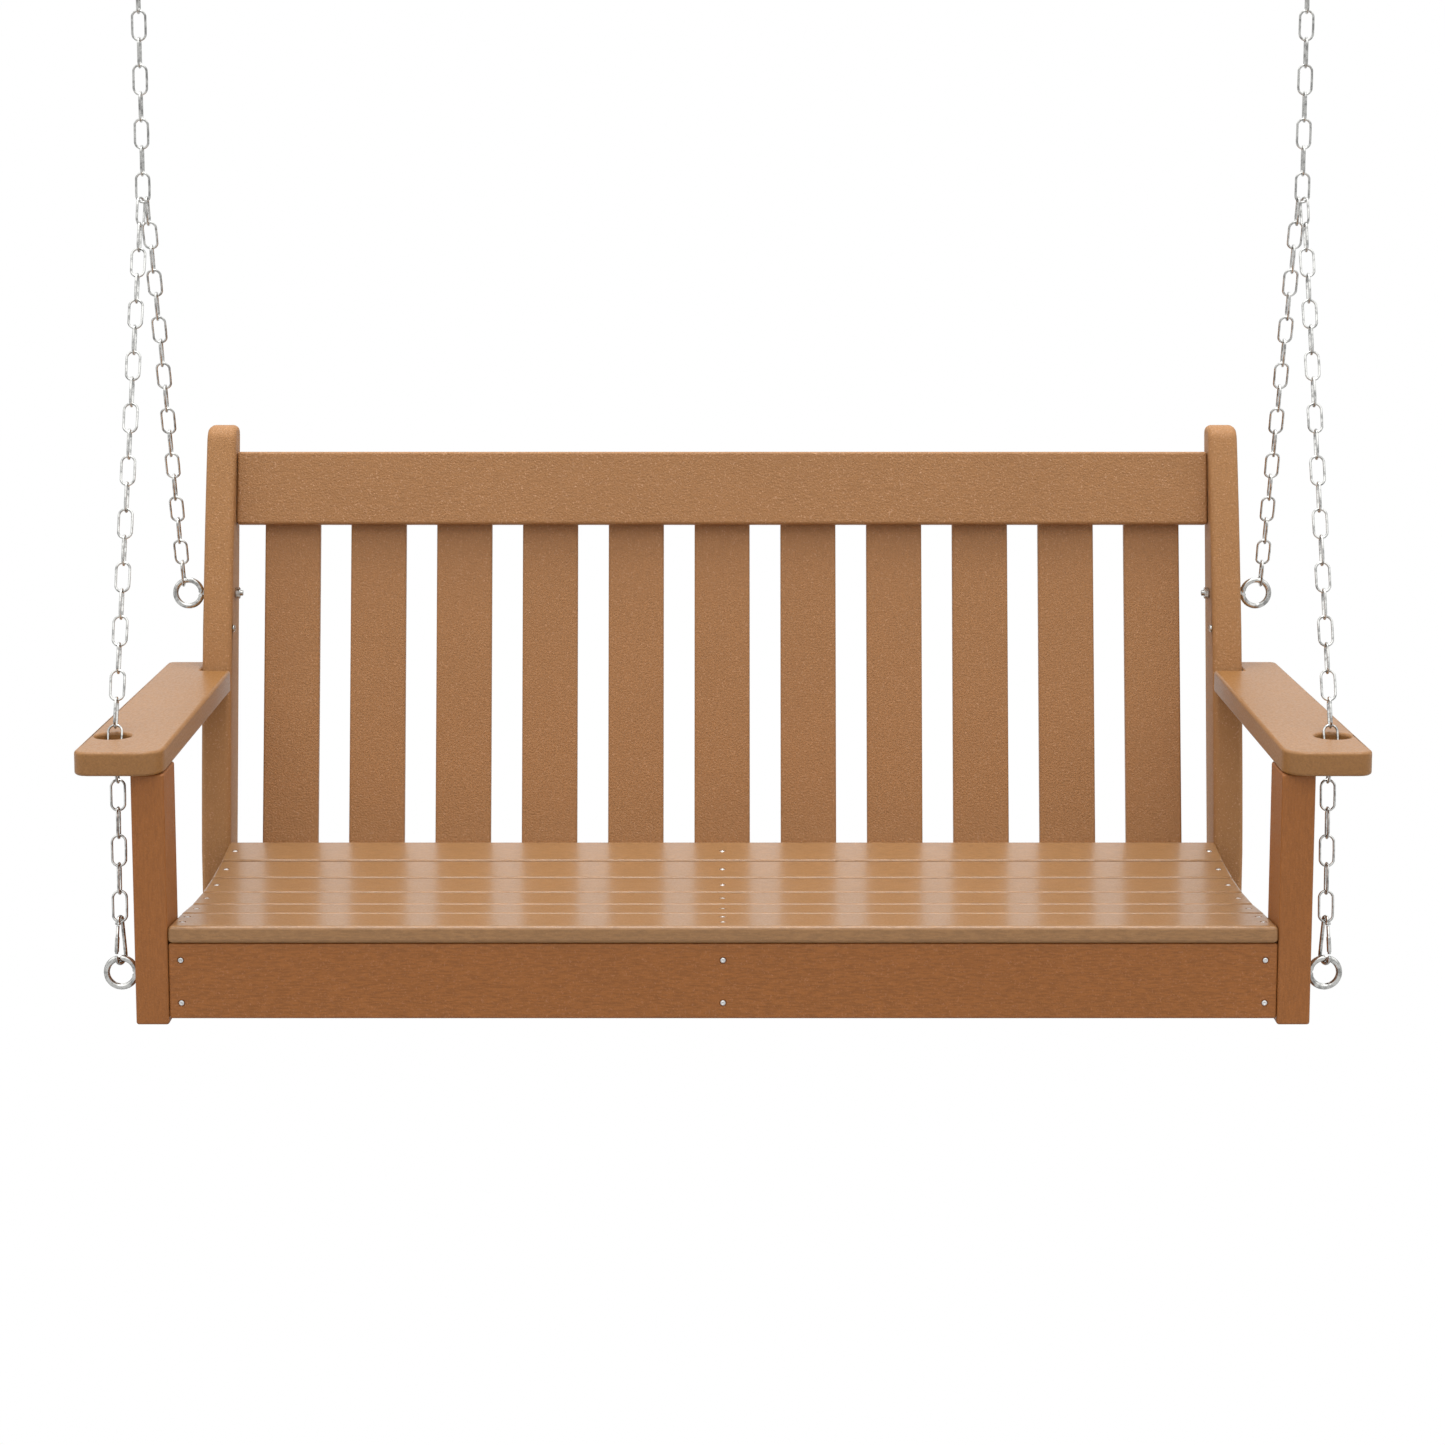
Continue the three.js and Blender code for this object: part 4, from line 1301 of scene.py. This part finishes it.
@dataclass
class Chains:
    """The two upper runs, and the front and rear run at each end."""

    wire: float = 2.9 * MM
    pitch: float = 32.2 * MM
    width: float = 19 * MM
    upper_links: int = 10
    front_outboard: float = 2.2 * MM
    rear_inboard: float = 4.2 * MM
    lower_lift: float = 0.8 * MM
    swing_room: float = 1.2 * MM  # between the junction link and the lower runs
    facet: float = 1.74 * MM  # half diagonal of the frame's four-sided wire
    first_turn: float = 68.0  # of the front run's first link, in degrees
    hole_inset: float = 33.3 * MM  # the arm's hole, outboard of the post
    hole_depth: float = 82.3 * MM  # and behind the post's front face
    # the front run's bend: outboard of the hole's centre, behind it, above the arm's underside
    bend: tuple[float, float, float] = (0.9 * MM, 7.7 * MM, 5.0 * MM)
    bend_link: tuple[float, float, float] = (5.2 * MM, 8.6 * MM, 30.6 * MM)  # inward, forward, down
    hook_height: float = 113 * MM  # the snap hook's top, above the post's foot
    rear_lean: float = 6 * MM  # where the rear run bears on its ring, outboard of the top
    rear_drop: float = 1.1 * MM  # and below it
    hook_clearance: float = 0.5 * MM  # between a link and the ring it hangs in
    ring: Ring = field(default_factory=Ring)

    def odd_count(self, start: Vector, end: Vector) -> int:
        """The odd number of links nearest to filling a stretch."""
        return 2 * round(((end - start).length / self.pitch - 1) / 2) + 1

    def stretch(self, start: Vector, end: Vector, turns: Sequence[float]) -> list[Matrix]:
        """Places for the links of one straight stretch.

        Args:
            start: One end.
            end: The other.
            turns: Each link's turn about the stretch in degrees, 0 facing the front.

        Returns:
            One matrix for each link.
        """
        along = (end - start).normalized()
        level = Vector((1, 0, 0))
        level = (level - level.dot(along) * along).normalized()
        places = []
        for k, turn in enumerate(turns):
            x = Matrix.Rotation(math.radians(turn), 3, along) @ level
            basis = Matrix((x, along, x.cross(along))).transposed().to_4x4()
            places.append(Matrix.Translation(start.lerp(end, (k + 0.5) / len(turns))) @ basis)
        return places

    def run(self, shop: Shop, name: str, places: Sequence[Matrix], body: Body, spacing: float) -> None:
        """Makes one run of links.

        Args:
            shop: The shop.
            name: The node it stands for.
            places: The links' places.
            body: The body it rides on.
            spacing: From one link to the next.
        """
        half = (self.width - self.wire) / 2
        piece = point_mesh(f"{name}_links", places)
        shop.links.apply(piece, Half_width=half, Straight_half=(spacing + self.wire) / 2 - half,
                         Wire_radius=self.wire / 2, Finish=shop.finishes.chain)
        shop.fit(piece, shop.finishes.chain, body, "chain_steel", name)

    def build(self, shop: Shop) -> None:
        """Makes the six runs.

        Args:
            shop: The shop.
        """
        tilt = Vector(shop.joints["bench_tilt"]["pos_m"])
        hang = 2 * self.facet + self.swing_room - self.wire / 2 + self.lower_lift
        for side in Side:
            low, high = node_box(f"upper_chain_{side.value}")
            junction = Vector(((low.x + high.x) / 2, tilt.y, tilt.z))
            self.upper_run(shop, side, junction)
            self.front_run(shop, side, junction + Vector((side.sign * self.front_outboard, 0, hang)))
            self.rear_run(shop, side, junction + Vector((-side.sign * self.rear_inboard, 0, hang)))

    def upper_run(self, shop: Shop, side: Side, junction: Vector) -> None:
        """Makes the run from a junction up to its hanger.

        Args:
            shop: The shop.
            side: Its end of the bench.
            junction: The wire centre of the lowest link's lower bow.
        """
        lowest = junction + Vector((0, 0, self.wire / 2))
        top = lowest + Vector((0, 0, self.upper_links * self.pitch))
        places = self.stretch(lowest, top, alternate(self.upper_links, 0.0))
        self.run(shop, f"upper_chain_{side.value}", places, Body.UPPER_CHAINS, self.pitch)

    def front_run(self, shop: Shop, side: Side, start: Vector) -> None:
        """Makes the run from a junction through the arm's hole to the snap hook, bent over one
        link below the arm.

        Args:
            shop: The shop.
            side: Its end of the bench.
            start: Its upper end.
        """
        post_low, post_high = node_box(f"front_post_{side.value}")
        arm_low, _ = node_box(f"arm_{side.value}")
        outboard, behind, above = self.bend
        bend = Vector((side.outer(post_low, post_high) + side.sign * (self.hole_inset + outboard),
                       post_low.y + self.hole_depth + behind, arm_low.z + above))
        inward, forward, down = self.bend_link
        below = bend - Vector((side.sign * inward, forward, down))
        ring = self.ring.centre("front", side)
        hook = Vector((ring.x, ring.y, post_low.z + self.hook_height))
        turns = alternate(self.odd_count(start, bend), 0.0)
        turns[0] = side.sign * self.first_turn
        places = [*self.stretch(start, bend, turns), *self.stretch(bend, below, [90.0]),
                  *self.stretch(below, hook, alternate(self.odd_count(below, hook), 0.0))]
        self.run(shop, f"front_chain_{side.value}", places, Body.BENCH, (bend - start).length / len(turns))

    def rear_run(self, shop: Shop, side: Side, start: Vector) -> None:
        """Makes the run from a junction to the rear eyebolt.

        Args:
            shop: The shop.
            side: Its end of the bench.
            start: Its upper end.
        """
        ring = self.ring.centre("rear", side)
        bearing = ring + Vector((side.sign * self.rear_lean, 0, self.ring.middle - self.rear_drop))
        hooked = self.facet + self.ring.wire / 2 + self.hook_clearance
        end = bearing + (bearing - start).normalized() * (hooked - self.wire / 2)
        turns = alternate(self.odd_count(start, end), 90.0)
        self.run(shop, f"rear_chain_{side.value}", self.stretch(start, end, turns), Body.BENCH,
                 (end - start).length / len(turns))


@dataclass
class SnapHooks:
    """The pear-shaped snap hook between each front chain and its eyebolt, with its gate."""

    wire: float = 4.5 * MM
    width: float = 24 * MM
    neck_width: float = 13 * MM
    turn: float = 22.0  # degrees from square to the post
    arc_steps: int = 8
    hinge_drop: float = 5 * MM  # the gate's hinge, below the neck's arc
    foot_lift: float = 3.2 * MM  # the gate's foot, above the bow's arc
    end_lift: float = 4.5 * MM  # the bent wire's end, above the hinge
    pin_lift: float = 2.6 * MM  # the pin, above the hinge
    pin_radius: float = 1.9 * MM
    pin_half: float = 2.9 * MM
    chamfer: float = 0.4 * MM
    gate_rod: float = 1.9 * MM
    gate_sleeve: float = 2.6 * MM
    ring: Ring = field(default_factory=Ring)

    @property
    def bow(self) -> float:
        """Radius of the wire's line round the wide lower end."""
        return (self.width - self.wire) / 2

    @property
    def neck(self) -> float:
        """Radius of the wire's line round the narrow upper end."""
        return (self.neck_width - self.wire) / 2

    def build(self, shop: Shop) -> None:
        """Makes both hooks and gates."""
        for side in Side:
            self.hook(shop, side)

    def limb(self, half: float, height: float) -> Vector:
        """A point on the gate's side of the hook, where its straight limb would run.

        Args:
            half: Half the height of the wire's line.
            height: The point's height above the hook's middle.

        Returns:
            The point.
        """
        share = (half - self.neck - height) / (2 * half - self.neck - self.bow)
        return Vector((-self.neck - (self.bow - self.neck) * share, 0, height))

    def wire_line(self, half: float) -> list[Vector]:
        """The wire's line, from its end above the gate round the neck and the bow.

        Args:
            half: Half its height.

        Returns:
            Its points.
        """
        points = [self.limb(half, half - self.neck - self.hinge_drop + self.end_lift)]
        for radius, height, start in ((self.neck, half - self.neck, math.pi), (self.bow, self.bow - half, 0.0)):
            for k in range(self.arc_steps + 1):
                angle = start - math.pi * k / self.arc_steps
                points.append(Vector((radius * math.cos(angle), 0, height + radius * math.sin(angle))))
        return smooth_path(points, 3)

    def pin_shape(self) -> bmesh.types.BMesh:
        """The gate's pin with chamfered ends, along X.

        Returns:
            The closed shape.
        """
        end, edge = self.pin_half, self.pin_radius - self.chamfer
        return turned([(-end, 0.0), (-end, edge), (self.chamfer - end, self.pin_radius),
                       (end - self.chamfer, self.pin_radius), (end, edge), (end, 0.0)], 16)

    def gate_shape(self, span: float) -> bmesh.types.BMesh:
        """The gate's rod with its sleeve, along X from its hinge.

        Args:
            span: Its length.

        Returns:
            The closed shape.
        """
        rod, sleeve = self.gate_rod, self.gate_sleeve
        return turned([(0.0, 0.0), (0.0, 0.8 * rod), (self.chamfer, rod), (0.38 * span, rod),
                       (0.4 * span, 0.9 * sleeve), (0.43 * span, sleeve), (0.9 * span, sleeve),
                       (0.93 * span, 0.9 * sleeve), (0.94 * span, rod), (0.985 * span, rod),
                       (span, 0.8 * rod), (span, 0.0)], 18)

    def hook(self, shop: Shop, side: Side) -> None:
        """Makes one hook and its gate.

        Args:
            shop: The shop.
            side: Its end of the bench.
        """
        node = f"snap_hook_{side.value}"
        low, high = node_box(node)
        half = (high.z - low.z - self.wire) / 2
        ring = self.ring.centre("front", side)
        place = (Matrix.Translation(Vector((ring.x, ring.y, (low.z + high.z) / 2)))
                 @ Matrix.Rotation(math.radians(90 + side.sign * self.turn), 4, "Z"))
        hinge = self.limb(half, half - self.neck - self.hinge_drop)
        foot = self.limb(half, self.bow - half + self.foot_lift)

        line = self.wire_line(half)
        wire = tube(line, [self.wire / 2] * len(line), 16, Vector((0, 1, 0)))
        pin = moved(self.pin_shape(), aimed(Vector((0, 1, 0)), hinge + Vector((0, 0, self.pin_lift))))
        piece = add_bmesh(f"{node}_body", moved(merged([wire, pin]), place))
        shop.fit(piece, shop.finishes.steel, Body.BENCH, "steel", node)

        span = foot - hinge
        gate = moved(self.gate_shape(span.length), place @ aimed(span.normalized(), hinge))
        piece = add_bmesh(f"snap_hook_gate_{side.value}_sleeve", gate)
        shop.fit(piece, shop.finishes.steel, side.gate_body, "steel", f"snap_hook_gate_{side.value}")


@dataclass
class Hangers:
    """The ceiling hangers: a screwed plate with a welded eye at each end."""

    plate_edge: float = 1.0 * MM
    screw_edge: float = 0.5 * MM
    stem: float = 5.0 * MM
    # the weld on the ring: where it is full, where it ends, how proud it stands
    bead: tuple[float, float, float] = (0.8 * MM, 3.2 * MM, 0.6 * MM)
    fillet: float = 2.5 * MM
    fillet_middle: tuple[float, float] = (0.6 * MM, 1.4 * MM)  # below the plate and out from the stem
    ring: Ring = field(default_factory=Ring)

    def build(self, shop: Shop) -> None:
        """Makes both hangers.

        Args:
            shop: The shop.
        """
        steel = shop.finishes.steel
        for side in Side:
            end = side.value
            plate = shop.board(f"hanger_plate_{end}_pressed", f"hanger_plate_{end}", self.plate_edge)
            shop.fit(plate, steel, Body.HANGERS, "steel", f"hanger_plate_{end}")
            low, high = node_box(f"hanger_eye_{end}")
            centre = Vector(((low.x + high.x) / 2, (low.y + high.y) / 2, low.z + self.ring.outer / 2))
            foot = centre + Vector((0, 0, self.ring.middle))
            stem = moved(self.stem_shape(high.z - foot.z), aimed(Vector((0, 0, 1)), foot))
            eye = add_bmesh(f"hanger_eye_{end}_welded", merged([self.ring.shape(centre, math.pi / 2), stem]))
            shop.fit(eye, steel, Body.HANGERS, "steel", f"hanger_eye_{end}")
            for row in ("front", "rear"):
                node = f"hanger_screw_{row}_{end}"
                screw = shop.board(f"{node}_hex", node, self.screw_edge)
                shop.fit(screw, shop.finishes.screw, Body.HANGERS, "steel", node)

    def stem_shape(self, length: float) -> bmesh.types.BMesh:
        """The eye's stem with its weld beads, along X from the ring to the plate.

        Args:
            length: Its length.

        Returns:
            The closed shape.
        """
        full, end, proud = self.bead
        down, out = self.fillet_middle
        return turned([(0.0, 0.0), (0.0, 0.5 * self.stem), (full, self.stem + proud), (end, self.stem),
                       (length - self.fillet, self.stem), (length - down, self.stem + out),
                       (length, self.stem + self.fillet), (length, 0.0)], 24)


# ------------------------------------------------------------------ studio


@dataclass
class Studio:
    """A white studio: pale floor, soft daylight from above and behind, camera in front."""

    lens: float = 80.11
    sensor: float = 36.0
    camera: tuple[float, float, float] = (-0.008, -3.901, -0.2535)
    pitch: float = 7.97  # degrees below level
    shift: tuple[float, float] = (0.0045, -0.12)
    floor_drop: float = 1.63
    floor_size: float = 60.0
    floor_grey: float = 0.36
    floor_roughness: float = 0.9
    fill: float = 0.12  # light from every direction
    boxes: tuple[tuple[str, float, float, float], ...] = (
        ("back", 0.72, 0.92, 0.8), ("front", 0.5, 0.9, 0.75), ("side", 0.6, 0.92, 0.9), ("top", 0.15, 0.8, 2.0),
        ("top", 0.93, 0.985, 9.0))  # direction, where the box starts and is full, its strength

    def build(self) -> None:
        """Makes the camera, the floor and the light."""
        self.place_camera()
        self.lay_floor()
        self.light_world()

    def place_camera(self) -> None:
        """Makes the camera and hands it to the scene."""
        lens = bpy.data.cameras.new("camera")
        lens.lens = self.lens
        lens.sensor_width = self.sensor
        lens.shift_x, lens.shift_y = self.shift
        camera = bpy.data.objects.new("camera", lens)
        camera.location = self.camera
        camera.rotation_euler = (math.radians(90 - self.pitch), 0, 0)
        bpy.context.scene.collection.objects.link(camera)
        bpy.context.scene.camera = camera

    def lay_floor(self) -> None:
        """Lays the pale floor below the swing."""
        half = self.floor_size / 2
        mesh = bpy.data.meshes.new("floor")
        corners = [(x * half, y * half, -self.floor_drop) for x, y in ((-1, -1), (1, -1), (1, 1), (-1, 1))]
        mesh.from_pydata(corners, [], [(0, 1, 2, 3)])
        floor = add_object("floor", mesh)
        material, graph, shader = empty_material("floor paint")
        shader.inputs["Base Color"].default_value = (self.floor_grey, self.floor_grey, self.floor_grey, 1)
        shader.inputs["Roughness"].default_value = self.floor_roughness
        white = graph.add("ShaderNodeEmission")
        output = next(node for node in graph.tree.nodes if node.type == "OUTPUT_MATERIAL")
        graph.join(graph.backdrop(shader.outputs[0], white.outputs[0]), output.inputs["Surface"])
        mesh.materials.append(material)

    def light_world(self) -> None:
        """Makes a white room seen by the camera, lit by soft boxes above, behind, in front and
        at the sides, with darker gaps between them for the steel to show."""
        world = bpy.data.worlds.new("studio")
        bpy.context.scene.world = world
        world.use_nodes = True
        world.node_tree.nodes.clear()
        graph = Graph(world.node_tree)
        axes = graph.add("ShaderNodeSeparateXYZ")
        graph.join(graph.add("ShaderNodeTexCoord").outputs["Generated"], axes.inputs[0])
        towards = {
            "back": axes.outputs["Y"], "front": graph.math("MULTIPLY", axes.outputs["Y"], -1.0),
            "side": graph.math("ABSOLUTE", axes.outputs["X"]), "top": axes.outputs["Z"]}
        strength = self.fill
        for name, start, full, power in self.boxes:
            strength = graph.math("ADD", strength, graph.ramp(towards[name], start, full, 0.0, power))
        light, room = graph.add("ShaderNodeBackground"), graph.add("ShaderNodeBackground")
        room.inputs["Color"].default_value = (1, 1, 1, 1)
        graph.join(strength, light.inputs["Strength"])
        output = graph.add("ShaderNodeOutputWorld")
        graph.join(graph.backdrop(light.outputs[0], room.outputs[0]), output.inputs["Surface"])


# ------------------------------------------------------------------ main


def main() -> None:
    """Builds the swing piece by piece."""
    logging.basicConfig(level=logging.INFO, format="%(name)s: %(message)s")
    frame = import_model()
    bpy.context.scene.view_settings.view_transform = "Standard"
    Studio().build()
    joints = {joint["name"]: joint for joint in frame["joints"]}
    shop = Shop(nodes=frame["nodes"], joints=joints, finishes=Finishes.make())
    for assembly in (EndFrames(), Seat(), Back(), Eyebolts(), Chains(), SnapHooks(), Hangers()):
        assembly.build(shop)
        log.info("%s done", type(assembly).__name__)


if __name__ == "__main__":
    main()
